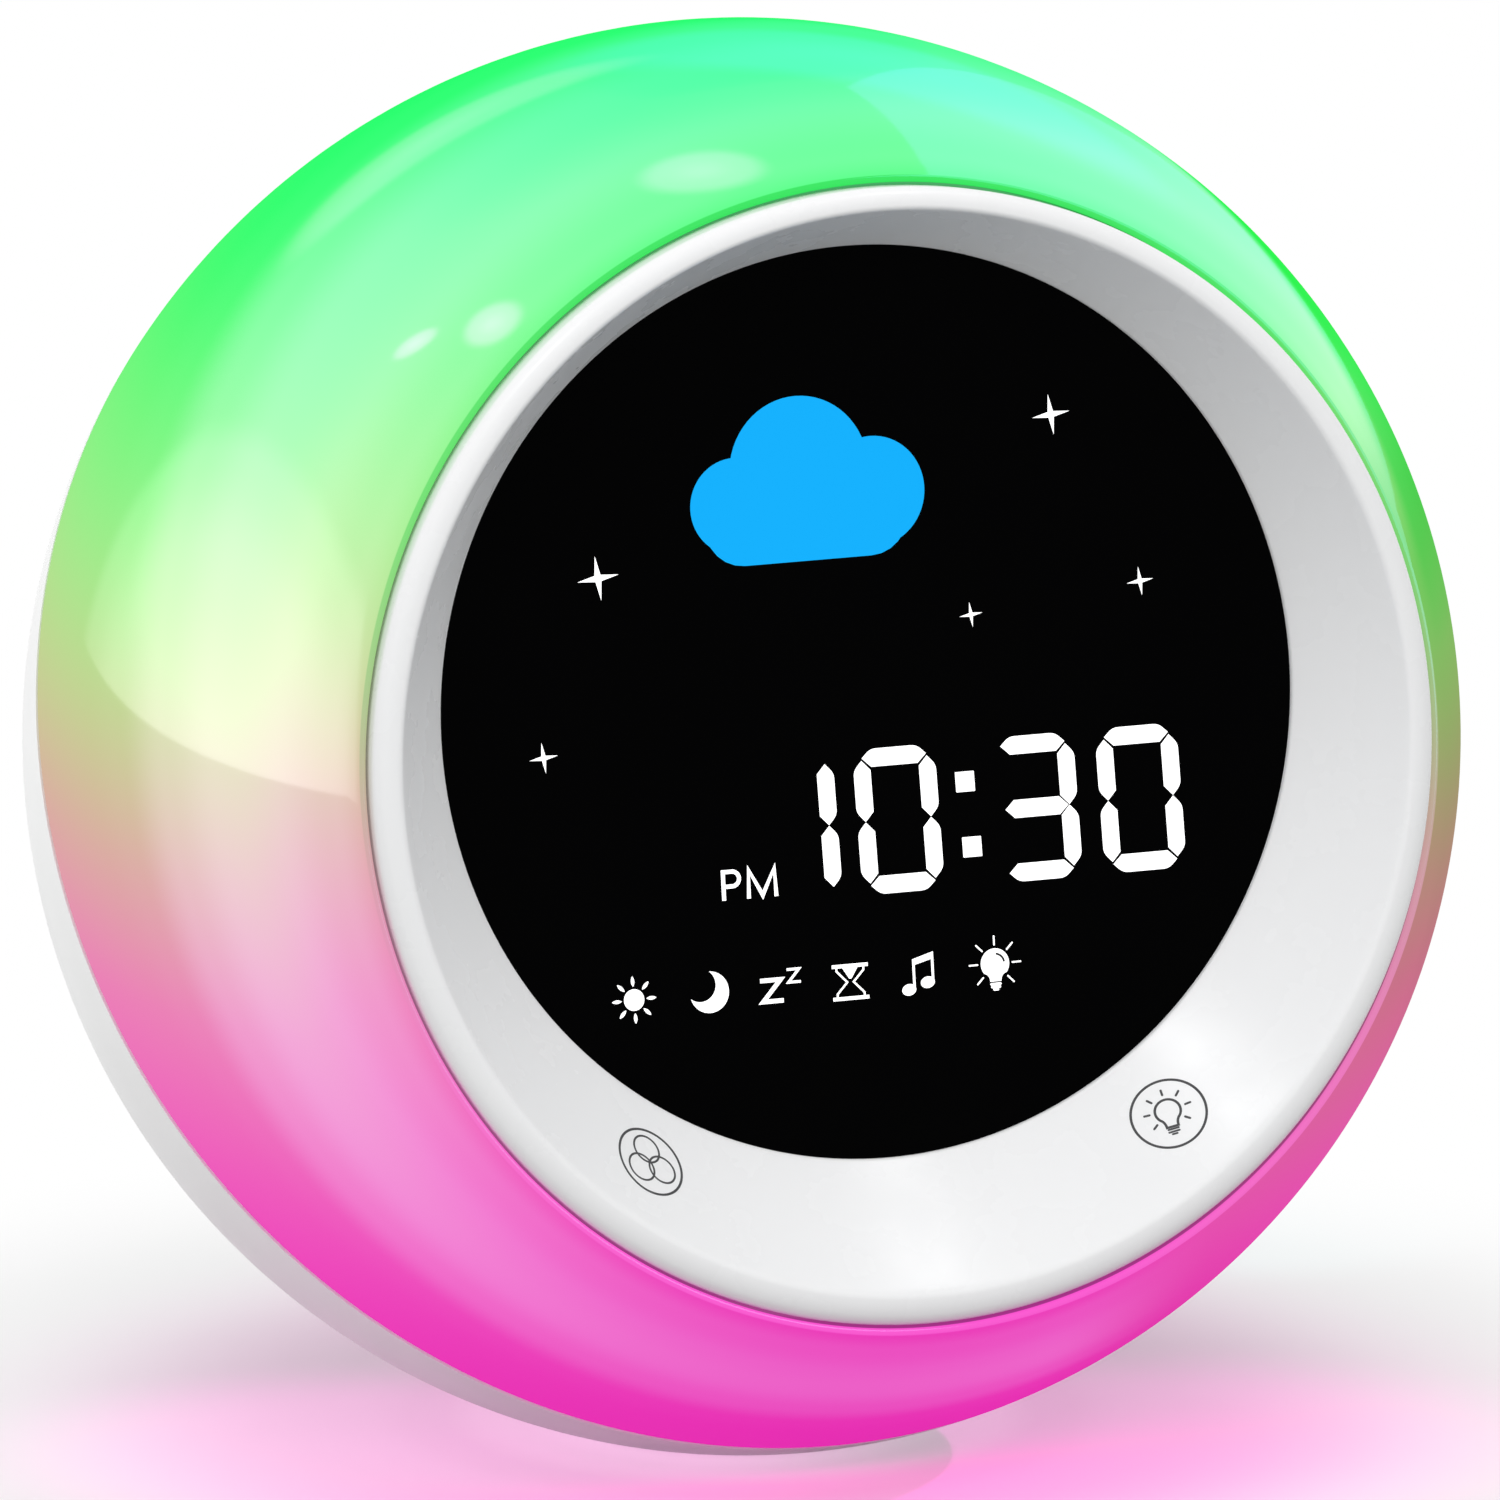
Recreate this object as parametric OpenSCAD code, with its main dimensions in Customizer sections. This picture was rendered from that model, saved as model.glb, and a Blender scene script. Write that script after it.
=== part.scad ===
// Ball-shaped bedside alarm clock for a child's room, with a night-light diffuser.
// Millimetres, +Z up, the face looks along -Y. The origin is on the table, below the ball's centre.

/* [Ball] */
// Outside diameter of the ball
ball_d = 150; // [147:1:160]
// Wall of the white rear housing
housing_wall = 2.4; // [2:0.1:3]
// Wall of the milky diffuser
diffuser_wall = 2.2; // [1.8:0.1:2.8]
// Floor above the base
floor_wall = 3; // [2.6:0.1:4]
// Diameter of the flat that the ball stands on
base_flat_d = 38.8; // [36:0.2:46]
// Rim of the flat left around the pad
pad_border = 1.5; // [1:0.1:3]
// Thickness of the pad
pad_t = 1.5; // [1:0.1:1.8]
// How far the pad stands below the flat
pad_proud = 0.3; // [0.2:0.1:0.8]

/* [Parting plane] */
// Lean of the parting plane from upright, in degrees
seam_lean = 27.4; // [25:0.2:29]
// How far the parting plane lies behind the ball's centre
seam_back = 8.5; // [7:0.5:10]
// Width of the parting groove
seam_gap = 0.7; // [0.5:0.1:1]
// Depth of the parting groove
seam_groove = 0.9; // [0.6:0.1:1.2]

/* [Face] */
// Lean of the face from upright, in degrees
face_lean = 8; // [6:0.5:10]
// Outside diameter of the bezel's rim
bezel_d = 119.1; // [118:0.1:121]
// Gap around the rim
mouth_gap = 0.35; // [0.2:0.05:0.6]
// Radial width of the rim's band
rim_w = 2.6; // [2.2:0.1:3]
// Height of the rim's outer wall
rim_t = 3; // [2.6:0.1:3.6]
// How far the crest stands out of the ball
crest_proud = 0.4; // [0.2:0.1:0.8]
// Narrowest width of the slope, above the display
slope_top_w = 3.1; // [2.8:0.1:4]
// How far the display sits above the face's axis
display_up = 6.1; // [5:0.1:6.5]
// Depth of the display below the crest
display_depth = 13.1; // [12:0.1:14]
// Wall of the bezel
bezel_wall = 1.8; // [1.5:0.1:2]
// Upright step at the slope's foot
window_land = 0.5; // [0.3:0.1:0.8]

/* [Display stack] */
// How far the lens reaches under the slope's foot
lens_lap = 1.5; // [1.2:0.1:1.8]
// Thickness of the lens
lens_t = 1.5; // [1:0.1:2]
// Thickness of the printed film
mask_t = 0.3; // [0.2:0.1:0.5]
// Depth of the light box
box_t = 6.2; // [5:0.2:7]
// Thickness of the circuit boards
board_t = 1.6; // [1:0.2:2]
// Depth of the back cover
cover_depth = 5.5; // [5:0.5:7]
// Wall of the back cover
cover_wall = 1.6; // [1.4:0.1:2]
// Height of a digit's cell
digit_h = 16; // [14:0.5:17]
// Diameter of the cell behind the picture
art_cell_d = 29; // [24:1:30]
// Diameter of an icon's cell
icon_cell_d = 6.4; // [5:0.2:6.8]

/* [Chassis] */
// Thickness of the chassis plate
plate_t = 2; // [1.6:0.1:2.6]
// Width of the ledges that hold the plate
ledge_w = 2.4; // [2:0.1:3]
// Thickness of the ledges
ledge_t = 1.8; // [1.4:0.1:2.4]
// Bore of the screw wells and post bores
well_d = 6.6; // [6.2:0.1:7]
// Wall around the screw wells
well_wall = 1.2; // [1:0.1:1.6]
// Radial width of the light ring's board
ring_w = 7.8; // [7:0.1:8.4]
// Colour lamps on the light ring
ring_leds = 24; // [12:6:24]

/* [Main board] */
// Width of the main board
main_w = 74; // [66:1:76]
// Height of the main board
main_h = 48; // [44:1:50]
// Space between the chassis and the main board
main_gap = 7.5; // [6:0.5:9]

/* [Rear panel] */
// Diameter of the flat panel at the back
panel_d = 74; // [72:1:78]
// Radius of the circle that the keys lie on
key_ring_r = 26; // [25.5:0.1:27]
// Diameter of a key
key_d = 9; // [8:0.1:9.4]
// How far a key stands out
key_proud = 1.4; // [1.2:0.1:2]
// Travel of a key
key_travel = 0.6; // [0.3:0.1:0.8]
// Gap around a key
key_gap = 0.2; // [0.15:0.05:0.3]
// Collar that keeps a key in the panel
key_collar = 1.1; // [0.8:0.1:1.2]
// Width of the power switch's thumb piece
knob_w = 4; // [3:0.2:5]
// Height of the power switch's thumb piece
knob_h = 2.6; // [2:0.1:3]
// Travel of the power switch
knob_travel = 2; // [1.5:0.1:2.5]
// Diameter of a grille hole
grille_hole_d = 1.7; // [1.2:0.1:2]
// Spacing of the grille's rings
grille_pitch = 3.4; // [3:0.1:3.5]

/* [Speaker] */
// Diameter of the speaker's frame
speaker_d = 36; // [32:1:36]
// Depth of the speaker behind its gasket
speaker_depth = 15; // [13:0.5:17]
// Diameter of the magnet
magnet_d = 22; // [18:1:24]

/* [Battery] */
// Diameter of the cell
cell_d = 18.4; // [16:0.2:18.6]
// Length of the cell
cell_l = 65; // [60:1:66]
// How far the cell lies behind the ball's centre
cell_back = 8; // [6:0.5:10]

/* [Fasteners] */
// Shank of the case screws
screw_d = 2.9; // [2.5:0.1:3]
// Head of the case screws
screw_head_d = 5.4; // [5:0.1:5.6]
// Shank of the board screws
small_screw_d = 2; // [1.8:0.1:2.2]
// Head of the board screws
small_head_d = 3.8; // [3.4:0.1:4]

/* [Hidden] */
$fn = 96;

// Clearances
seat_gap = 0.1;    // between a piece and its seat
fit_gap = 0.3;     // around a piece in its recess
bore_gap = 0.05;   // around a screw or a plunger in its bore
screw_gap = 0.25;  // around a screw in a plain hole
far = 2 * ball_d;  // past everything
cut = 1;           // how far a cut runs past what it cuts
lap = 0.01;        // overlap of solids that are joined

// Ball and base
ball_r = ball_d / 2;
base_flat_r = base_flat_d / 2;
centre_z = pad_proud + sqrt(ball_r * ball_r - base_flat_r * base_flat_r);
pad_r = base_flat_r - pad_border;
pad_grooves = [0.4, 0.7];
groove_w = 1;
plate_front = -seam_back + plate_t / 2;
plate_back = -seam_back - plate_t / 2;
plate_r = sqrt(pow(ball_r - max(housing_wall, diffuser_wall), 2) - plate_back * plate_back) - fit_gap;
ledge_r = plate_r - ledge_w;

// Bezel: radii from the face's axis and heights along it, from the ball's centre
bezel_r = bezel_d / 2;
mouth_r = bezel_r + mouth_gap;
rebate_room = 0.2;
rebate_w = rim_w + rebate_room;
rebate_t = 1.5;
rebate_lap = 1.1;
rebate_r = mouth_r - rebate_w;
skirt_r = rebate_r - fit_gap;
crest_r = bezel_r - rim_w;
crest_flat = 0.15;
lip_r = crest_r - crest_flat;
crest_d = sqrt(ball_r * ball_r - crest_r * crest_r) + crest_proud;
rim_edge_d = sqrt(ball_r * ball_r - bezel_r * bezel_r);
rebate_d = rim_edge_d - rim_t - seat_gap;
band_bulge = 0.35;
band_steps = 6;
mouth_chamfer = 0.5;

// Display
display_r = crest_r - slope_top_w - display_up;
display_d = crest_d - display_depth;
land_d = display_d + window_land;
lens_r = display_r + lens_lap;
bore_r = lens_r + seat_gap;
collar_wall = 1.4;
collar_r = bore_r + collar_wall;
mask_front = display_d - lens_t;
box_front = mask_front - mask_t;
board_front = box_front - box_t;
board_back = board_front - board_t;
cover_front = board_back - seat_gap;
cover_back = cover_front - cover_depth;
cover_rim = 4.2;
cover_tab_l = 8;
ear_t = 2;
ear_margin = 1;
skirt_reach = 4;
skirt_end_d = display_d - skirt_reach;
led_w = 3;
digit_led_w = 2.4;
led_t = 1.2;

// Cells of the light box: digits as [left, bottom, width], icons by their centres, from the axis
digit_bottom = -14.6;
digit_cells = [[-9, 6], [-2.4, 10.6], [9.2, 2.8], [13, 11], [25, 10.6]];
marker_cell = [-18.4, -14.4, 8.6, 5.6];
icon_up = -22.5;
icon_places = [-27.6, -19.2, -11.5, -3.5, 3.9, 12.6];
art_place = [-6, 28];
star_places = [[22, 34], [31, 16], [-29, 21], [-36, 3], [12, 14]];
star_cell_d = 5;

// Touch marks on the slope, on both sides of straight down, and this share of the way up it
touch_angle = 34.4;
touch_share = 0.466;
touch_pad_r = 4;
touch_pad_t = 0.8;
touch_seat_r = 6.2;
touch_seat_depth = 2.6;
touch_lead_run = [44, 22];

// Posts and screws: two posts beside the display, and one below it
boss_wall = 1.4;
boss_r = screw_d / 2 + boss_wall;
post_out = skirt_r - boss_r;
post_low = (skirt_r + collar_r - display_up) / 2;
post_places = [[-post_out, display_up], [post_out, display_up], [0, -post_low]];
post_r = well_d / 2 + well_wall;
post_top = cover_front - ear_t - seat_gap;
post_floor = 6;
bezel_bore_l = 10;
screw_r = screw_d / 2;
head_t = 2;
drive_share = 0.45;
post_screw_l = 14;
well_angles = [27, 153, -41, -139];
well_floor = 6;
well_top = plate_back - seat_gap;
plate_boss_h = 10;
plate_boss_r = 3.6;
well_screw_l = 16;
small_r = small_screw_d / 2;
small_head_t = 1.2;
small_boss_wall = 1.5;
small_boss_r = small_r + small_boss_wall;
board_screw_l = 6;
speaker_screw_l = 2.5;

// Light ring
ring_out_r = ledge_r - 3 * fit_gap;
ring_in_r = ring_out_r - ring_w;
ring_mid_r = ring_out_r - ring_w / 2;
well_ring_gap = 2.2;
well_ring_r = ring_in_r - plate_boss_r - well_ring_gap;
well_places = [for (a = well_angles) [well_ring_r * cos(a), well_ring_r * sin(a)]];
ring_t = 1.2;
ring_led_w = 5;
ring_led_t = 1.6;
ring_led_eye = [1.9, 0.3];
ring_screws = 4;
ring_screw_turn = 45;
ring_lead_x = 24;
ring_lead_in = 0.4;
ring_lead_run = [18, 6, 22];

// Main board
main_up = 2;
main_front = plate_back - main_gap;
main_back = main_front - board_t;
main_corner = 3.4;
socket_up = -12;
socket_w = 5;
touch_socket_x = 17;
ribbon_w = 12;
ribbon_t = 0.4;
ribbon_run = 12;
ribbon_room = [3, 5];
ribbon_socket = [16, 4.6, 3];
board_socket_t = 2.8;
ribbon_up = -10;
slot_w = 56;
slot_h = 10;
// Chips as [x, up, width, height, thickness] and capacitors as [x, up, radius, height]
chips = [[-8, 6, 12, 12, 1.4], [14, 10, 8, 6, 1.6], [14, -2, 6, 5, 1.6], [-25, -2, 5, 4, 1.2],
    [2, -12, 6, 6, 2.8]];
capacitors = [[-24, 12, 3.2, 7], [-16, 18, 2.5, 5.4], [26, 4, 3.2, 7]];
// Sockets for the battery, the speaker and the rear board
back_sockets = [[-24, -16], [12, -16], [24, -8]];
back_socket = [7, 5, 5];

// Leads: round ones have these sides, and each has these rings
lead_sides = 8;
lead_rings = 20;
touch_lead_r = 0.7;
lead_r = 0.8;
battery_lead_out = [-2, 0, 10];
battery_lead_run = 14;
speaker_lead_run = [9, 12];
rear_lead_run = [12, 10];
rear_lead_in = 0.1;

// Rear panel and keys
panel_r = panel_d / 2;
panel_w = sqrt(ball_r * ball_r - panel_r * panel_r);
panel_in = panel_w - housing_wall;
key_r = key_d / 2;
key_top = panel_w + key_proud;
key_edge = 0.4;
key_step = 36;
collar_t = 1.2;
key_post_r = 2;
key_post_l = 1;
plunger_r = 1.7;
plunger_out = 1.5;
plunger_in = 1;
switch_w = 6;
switch_t = 3.5;
key_back = panel_in - seat_gap - collar_t - key_post_l;
rear_front = key_back - seat_gap - plunger_out - switch_t;
rear_back = rear_front - board_t;
rear_out_r = 38;
rear_in_r = 20;
rear_boss_at = 34.3;
rear_boss_angles = [45, 135, 225, 315];
rear_socket_at = [-29, -8];
rear_socket = [6, 8, 4];
plunger_stop = 0.3;
// The keys' places on their circle, seen from behind from the right
light_key = 0;
sound_key = 1;
down_key = 2;
up_key = 3;
set_key = 4;
alarm_key = 5;
knob_place = [-13, -22.6];
usb_place = [13, -22.6];
usb_w = 8.9;
usb_h = 3.2;
usb_wall = 0.3;
usb_recess = 0.6;
usb_tongue_w = 6.6;
usb_tongue_t = 0.7;
usb_back = 1.4;
usb_room = 4;
knob_plate_t = 0.8;
knob_lap = 1;
knob_post = 1.6;
knob_post_in = 1.4;
knob_slot_depth = 1.8;
knob_body = [8.6, 4.2, 3.4];
knob_depth = 1.2;
knob_room = [5, 3];
knob_sunk = 0.2;

// Speaker
speaker_r = speaker_d / 2;
gasket_t = 0.8;
gasket_w = 3;
frame_t = 1.2;
frame_front = panel_in - gasket_t - seat_gap;
gasket_edge = 0.5;
ear_at = 20.8;
ear_r = 2.8;
ear_angles = [90, 210, 330];
tag = [6, 8, 1.4];
tag_in = 3;
magnet_t = 5;
magnet_r = magnet_d / 2;
basket_t = 1;
frame_back = frame_front - speaker_depth + magnet_t;
basket_inset = 1;
basket_foot = magnet_r - basket_inset;
basket_step = 1;
basket_top = frame_front - frame_t - basket_step;
basket_play = [0.5, 0.4];
cone_t = 0.6;
cone_seat_r = speaker_r - gasket_w;
cone_rim_w = 1.6;
cone_rim_back = frame_front - frame_t + seat_gap;
cone_edge_r = cone_seat_r - cone_rim_w - 2 * seat_gap;
cone_depth = 5;
cone_deep = frame_front - cone_depth;
cap_r = 5;
cap_depth = 3;
cap_top = frame_front - cap_depth;
coil_r = 2.6;
coil_in = 1;
coil_hole_r = 3;
coil_hole_depth = 1.5;

// Battery
cell_r = cell_d / 2;
cell_end_gap = 1;
tray_wall = 1.6;
tray_open_share = 0.7;
tray_floor = 1.7;
tray_half_w = cell_r + tray_wall;
tray_half_l = cell_l / 2 + cell_end_gap + tray_wall;
tray_air = 2.4;
room_r = ball_r - housing_wall;
tray_reach = tray_half_l * tray_half_l + pow(cell_back + tray_half_w, 2);
tray_bottom = centre_z - sqrt(room_r * room_r - tray_reach) + tray_air;
cell_z = tray_bottom + tray_floor + cell_r + seat_gap;
clip_h = 3;
nub_r = 2.8;
lug_t = 2.4;
lug_r = 3.4;
lug_x = 22;
lug_gap = 3.6;
lug_out = tray_half_w + lug_gap;

// Frames: the ball's centre, the face, the parting plane and the rear panel
module at_centre() translate([0, 0, centre_z]) children();
module at_face() at_centre() rotate([90 - face_lean, 0, 0]) children();
module at_seam() at_centre() rotate([90 - seam_lean, 0, 0]) children();
module at_rear() at_centre() rotate([90, 0, 180]) children();
module at_display() at_face() translate([0, display_up, 0]) children();

// Points given in those frames, in the part's own frame
function leaned(p, lean) =
    [p.x, p.y * sin(lean) - p.z * cos(lean), centre_z + p.y * cos(lean) + p.z * sin(lean)];
function face_point(p) = leaned(p, face_lean);
function seam_point(p) = leaned(p, seam_lean);
function rear_point(p) = [-p.x, p.z, centre_z + p.y];
face_out = face_point([0, 0, 1]) - face_point([0, 0, 0]);
seam_out = seam_point([0, 0, 1]) - seam_point([0, 0, 0]);
function around(r, angle) = [r * cos(angle), r * sin(angle)];

// Half spaces and simple rounds
module below(top) translate([-far / 2, -far / 2, top - far]) cube(far);
module above(bottom) translate([-far / 2, -far / 2, bottom]) cube(far);
module tube(outer, inner, h) difference() {
    cylinder(r = outer, h = h);
    translate([0, 0, -cut]) cylinder(r = inner, h = h + 2 * cut);
}
module slab(size) translate([-size.x / 2, -size.y / 2, 0]) cube(size);
module slot(w, h, t) {
    slab([w - h, h, t]);
    for (side = [-1, 1]) translate([side * (w - h) / 2, 0, 0]) cylinder(d = h, h = t);
}
module screw(shank_r, shank_l, head_r, head_h) {
    cylinder(r = shank_r, h = shank_l);
    translate([0, 0, -head_h]) difference() {
        cylinder(r = head_r, h = head_h + lap);
        translate([0, 0, -cut]) cylinder(r = head_r * drive_share, h = cut + head_h / 2, $fn = 6);
    }
}

// A lead along one smooth curve: from one end along its first direction, into the other end
function curve(a, b, c, d, t) =
    pow(1 - t, 3) * a + 3 * pow(1 - t, 2) * t * b + 3 * (1 - t) * t * t * c + pow(t, 3) * d;
function heading(a, b, c, d, t) =
    pow(1 - t, 2) * (b - a) + 2 * (1 - t) * t * (c - b) + t * t * (d - c);
function unit(v) = v / norm(v);
function ring_about(p, dir, ref, r) = let (side = unit(cross(dir, ref)), up = unit(cross(side, dir)))
    [for (k = [0:lead_sides - 1]) let (a = k * 360 / lead_sides) p + r * (cos(a) * side + sin(a) * up)];
module lead(start, out, end, in, r, ref = [0.2, 0.3, 1]) {
    b = start + out;
    c = end + in;
    points = [for (i = [0:lead_rings]) let (t = i / lead_rings)
        each ring_about(curve(start, b, c, end, t), unit(heading(start, b, c, end, t)), ref, r)];
    sides = [for (i = [0:lead_rings - 1], k = [0:lead_sides - 1])
        let (n = (k + 1) % lead_sides, low = i * lead_sides, high = low + lead_sides)
        each [[low + k, low + n, high + n], [low + k, high + n, high + k]]];
    first = [for (k = [1:lead_sides - 2]) [0, k + 1, k]];
    top = lead_rings * lead_sides;
    last = [for (k = [1:lead_sides - 2]) [top, top + k, top + k + 1]];
    polyhedron(points, concat(sides, first, last));
}

// ---- Shells ----

// The space that the housing fills, drawn in by inset, up to mouth behind the parting plane
module housing_space(inset, mouth) intersection() {
    at_centre() sphere(ball_r - inset);
    at_seam() below(mouth);
    at_rear() below(panel_w - inset);
    above(pad_proud + floor_wall * inset / housing_wall);
}
module diffuser_space(inset, mouth) intersection() {
    at_centre() sphere(ball_r - inset);
    at_seam() above(mouth);
}
module rear_boss_places() {
    for (a = rear_boss_angles) rotate(a) translate([rear_boss_at, 0, 0]) children();
}
module speaker_boss_places() {
    for (a = ear_angles) rotate(a) translate([ear_at, 0, 0]) children();
}
module tray_boss_places() {
    for (side = [-1, 1]) translate([side * lug_x, cell_back + side * lug_out, 0]) children();
}
module housing_bosses() {
    at_seam() translate([0, 0, well_top - ledge_t]) tube(ball_r, ledge_r, ledge_t + cut);
    at_seam() for (p = well_places) translate([p.x, p.y, -far]) cylinder(r = post_r, h = far);
    at_rear() rear_boss_places() translate([0, 0, rear_front + seat_gap]) cylinder(r = small_boss_r, h = far);
    at_rear() speaker_boss_places() translate([0, 0, frame_front + seat_gap])
        cylinder(r = small_boss_r, h = far);
    tray_boss_places() cylinder(r = small_boss_r, h = tray_bottom - seat_gap);
}
module housing_openings() {
    at_seam() for (p = well_places) translate([p.x, p.y, -far]) {
        cylinder(r = well_d / 2, h = far + well_top - well_floor);
        cylinder(r = screw_r + screw_gap, h = far);
    }
    for (i = [light_key:alarm_key]) at_key(i) cylinder(r = key_r + key_gap, h = far);
    at_rear() {
        rear_boss_places() translate([0, 0, rear_front - cut])
            cylinder(r = small_r + bore_gap, h = board_screw_l - board_t + 2 * cut);
        speaker_boss_places() translate([0, 0, frame_front - cut])
            cylinder(r = small_r + bore_gap, h = speaker_screw_l - frame_t + seat_gap + cut);
        grille_holes();
        translate([knob_place.x, knob_place.y, panel_in - cut]) {
            slab([knob_w + knob_travel + 2 * key_gap, knob_h + 2 * key_gap, far]);
            translate([0, 0, cut + housing_wall - knob_depth])
                slot(knob_w + knob_travel + knob_room.x, knob_h + knob_room.y, far);
        }
        translate([usb_place.x, usb_place.y, panel_in - cut]) {
            slot(usb_w + 2 * key_gap, usb_h + 2 * key_gap, far);
            translate([0, 0, cut + housing_wall - usb_recess]) slot(usb_w + usb_room, usb_h + usb_room, far);
        }
    }
    tray_boss_places() translate([0, 0, tray_bottom - board_screw_l + lug_t - cut])
        cylinder(r = small_r + bore_gap, h = board_screw_l);
    translate([0, 0, -cut]) cylinder(r = pad_r + seat_gap, h = cut + pad_t + seat_gap);
}
module grille_holes() {
    rings = floor((speaker_r - gasket_w - grille_hole_d) / grille_pitch);
    cylinder(d = grille_hole_d, h = far);
    for (ring = [1:rings], k = [0:6 * ring - 1])
        rotate(k * 60 / ring) translate([ring * grille_pitch, 0, 0]) cylinder(d = grille_hole_d, h = far);
}
module rear_housing() color([0.93, 0.93, 0.92]) difference() {
    union() {
        difference() {
            housing_space(0, -seam_back - seam_gap / 2);
            housing_space(housing_wall, 0);
        }
        intersection() {
            housing_space(housing_wall / 2, well_top);
            housing_bosses();
        }
    }
    housing_openings();
}

module diffuser_shell() color([0.55, 0.95, 0.62]) difference() {
    union() {
        difference() {
            diffuser_space(0, -seam_back + seam_gap / 2);
            diffuser_space(diffuser_wall, -seam_back - cut);
        }
        intersection() {
            diffuser_space(diffuser_wall / 2, plate_front + seat_gap);
            union() {
                at_seam() translate([0, 0, plate_front]) tube(ball_r, ledge_r, ledge_t + seat_gap);
                at_face() translate([0, 0, rebate_d - rebate_t])
                    tube(mouth_r + rebate_lap, rebate_r - cut, rebate_t);
            }
        }
    }
    at_face() {
        cylinder(r = rebate_r, h = far);
        translate([0, 0, rebate_d]) cylinder(r = mouth_r, h = far);
        translate([0, 0, rim_edge_d - mouth_chamfer - mouth_gap])
            cylinder(r1 = mouth_r, r2 = mouth_r + 2 * mouth_chamfer, h = 2 * mouth_chamfer);
    }
}

// Dark ring that stops light leaking out of the parting groove
module light_seal() color([0.2, 0.2, 0.22]) at_seam()
    translate([0, 0, -seam_back - seam_gap / 2 + seat_gap / 2])
    tube(sqrt(pow(ball_r - seam_groove, 2) - seam_back * seam_back), plate_r + seat_gap, seam_gap - seat_gap);

module base_pad() color([0.3, 0.3, 0.32]) difference() {
    union() {
        cylinder(r1 = pad_r - pad_proud, r2 = pad_r, h = pad_proud);
        translate([0, 0, pad_proud]) cylinder(r = pad_r, h = pad_t - pad_proud);
    }
    for (share = pad_grooves) translate([0, 0, -cut])
        tube(pad_r * share + groove_w / 2, pad_r * share - groove_w / 2, cut + pad_proud);
}

// ---- Bezel ----

// The slope is an oblique cone: its circle grows and drops back to the axis towards the crest.
// A share of 0 is its foot, above the upright step around the display, and 1 is its lip, at the crest
function slope_r(share) = display_r + (lip_r - display_r) * share;
function slope_up(share) = display_up * (1 - share);
function slope_d(share) = land_d + (crest_d - land_d) * share;
module slope_cone(grow, drop) hull() {
    past = 1 + cut / (crest_d - land_d);
    translate([0, display_up, display_d - cut - drop]) cylinder(r = display_r + grow, h = window_land + cut);
    translate([0, slope_up(past), slope_d(past) - drop]) cylinder(r = slope_r(past) + grow, h = cut);
}
// The band of the rim, from its outer edge to the crest
function band_point(t) = let (steep = atan2(crest_d - rim_edge_d, bezel_r - crest_r))
    [bezel_r + (crest_r - bezel_r) * t, rim_edge_d + (crest_d - rim_edge_d) * t]
    + 4 * t * (1 - t) * band_bulge * [sin(steep), cos(steep)];
module bezel_rim() rotate_extrude() polygon(concat([
    [skirt_r - bezel_wall, skirt_end_d],
    [skirt_r, skirt_end_d],
    [skirt_r, rebate_d + seat_gap],
    [bezel_r, rebate_d + seat_gap]],
    [for (i = [0:band_steps]) band_point(i / band_steps)],
    [[skirt_r - bezel_wall, crest_d]]));

// Frame on the slope at a touch mark, with +Z out of the slope. A side of -1 is the left mark
function touch_turn(side) = -90 + side * touch_angle;
touch_place = slope_r(touch_share) * [sin(touch_angle), -cos(touch_angle)] + [0, slope_up(touch_share)];
touch_tilt = atan2(crest_d - land_d, lip_r - display_r + display_up * cos(touch_angle));
module on_slope(side) translate([side * touch_place.x, touch_place.y, slope_d(touch_share)])
    rotate(touch_turn(side)) rotate([0, -touch_tilt, 0]) children();
// A point of that frame's own Z axis, in the face's frame
function below_slope(side, depth) = let (x = depth * sin(touch_tilt), turn = touch_turn(side))
    [side * touch_place.x + x * cos(turn), touch_place.y + x * sin(turn),
        slope_d(touch_share) - depth * cos(touch_tilt)];

module front_bezel() color([0.95, 0.95, 0.95]) at_face() difference() {
    union() {
        bezel_rim();
        intersection() {
            union() {
                slope_cone(bezel_wall, bezel_wall / 2);
                translate([0, display_up, board_back]) cylinder(r = collar_r, h = land_d - board_back);
                for (p = post_places) translate([p.x, p.y, board_back])
                    cylinder(r = boss_r, h = crest_d - board_back);
                for (side = [-1, 1]) on_slope(side) translate([0, 0, -touch_seat_depth])
                    cylinder(r = touch_seat_r, h = touch_seat_depth);
            }
            cylinder(r = skirt_r, h = crest_d - cut);
        }
    }
    slope_cone(0, 0);
    translate([0, display_up, board_back - cut]) cylinder(r = bore_r, h = display_d - board_back + cut);
    for (p = post_places) translate([p.x, p.y, board_back - cut])
        cylinder(r = screw_r + bore_gap, h = bezel_bore_l + cut);
}

// ---- Display stack ----

module display_lens() color([0.02, 0.02, 0.03]) at_display()
    translate([0, 0, mask_front]) cylinder(r = lens_r, h = lens_t);
module display_mask() color([0.1, 0.1, 0.12]) at_display()
    translate([0, 0, box_front]) cylinder(r = lens_r - seat_gap, h = mask_t);
module display_cells(bottom, h) at_face() translate([0, 0, bottom]) {
    for (c = digit_cells) translate([c[0], digit_bottom, 0]) cube([c[1], digit_h, h]);
    translate([marker_cell[0], marker_cell[1], 0]) cube([marker_cell[2], marker_cell[3], h]);
    for (x = icon_places) translate([x, icon_up, 0]) cylinder(d = icon_cell_d, h = h);
    for (p = star_places) translate([p.x, p.y, 0]) cylinder(d = star_cell_d, h = h);
    translate([art_place.x, art_place.y, 0]) cylinder(d = art_cell_d, h = h);
}
module display_light_box() color([0.9, 0.9, 0.88]) difference() {
    at_display() translate([0, 0, board_front]) cylinder(r = lens_r - seat_gap, h = box_t);
    display_cells(board_front - cut, box_t + 2 * cut);
}
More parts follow.
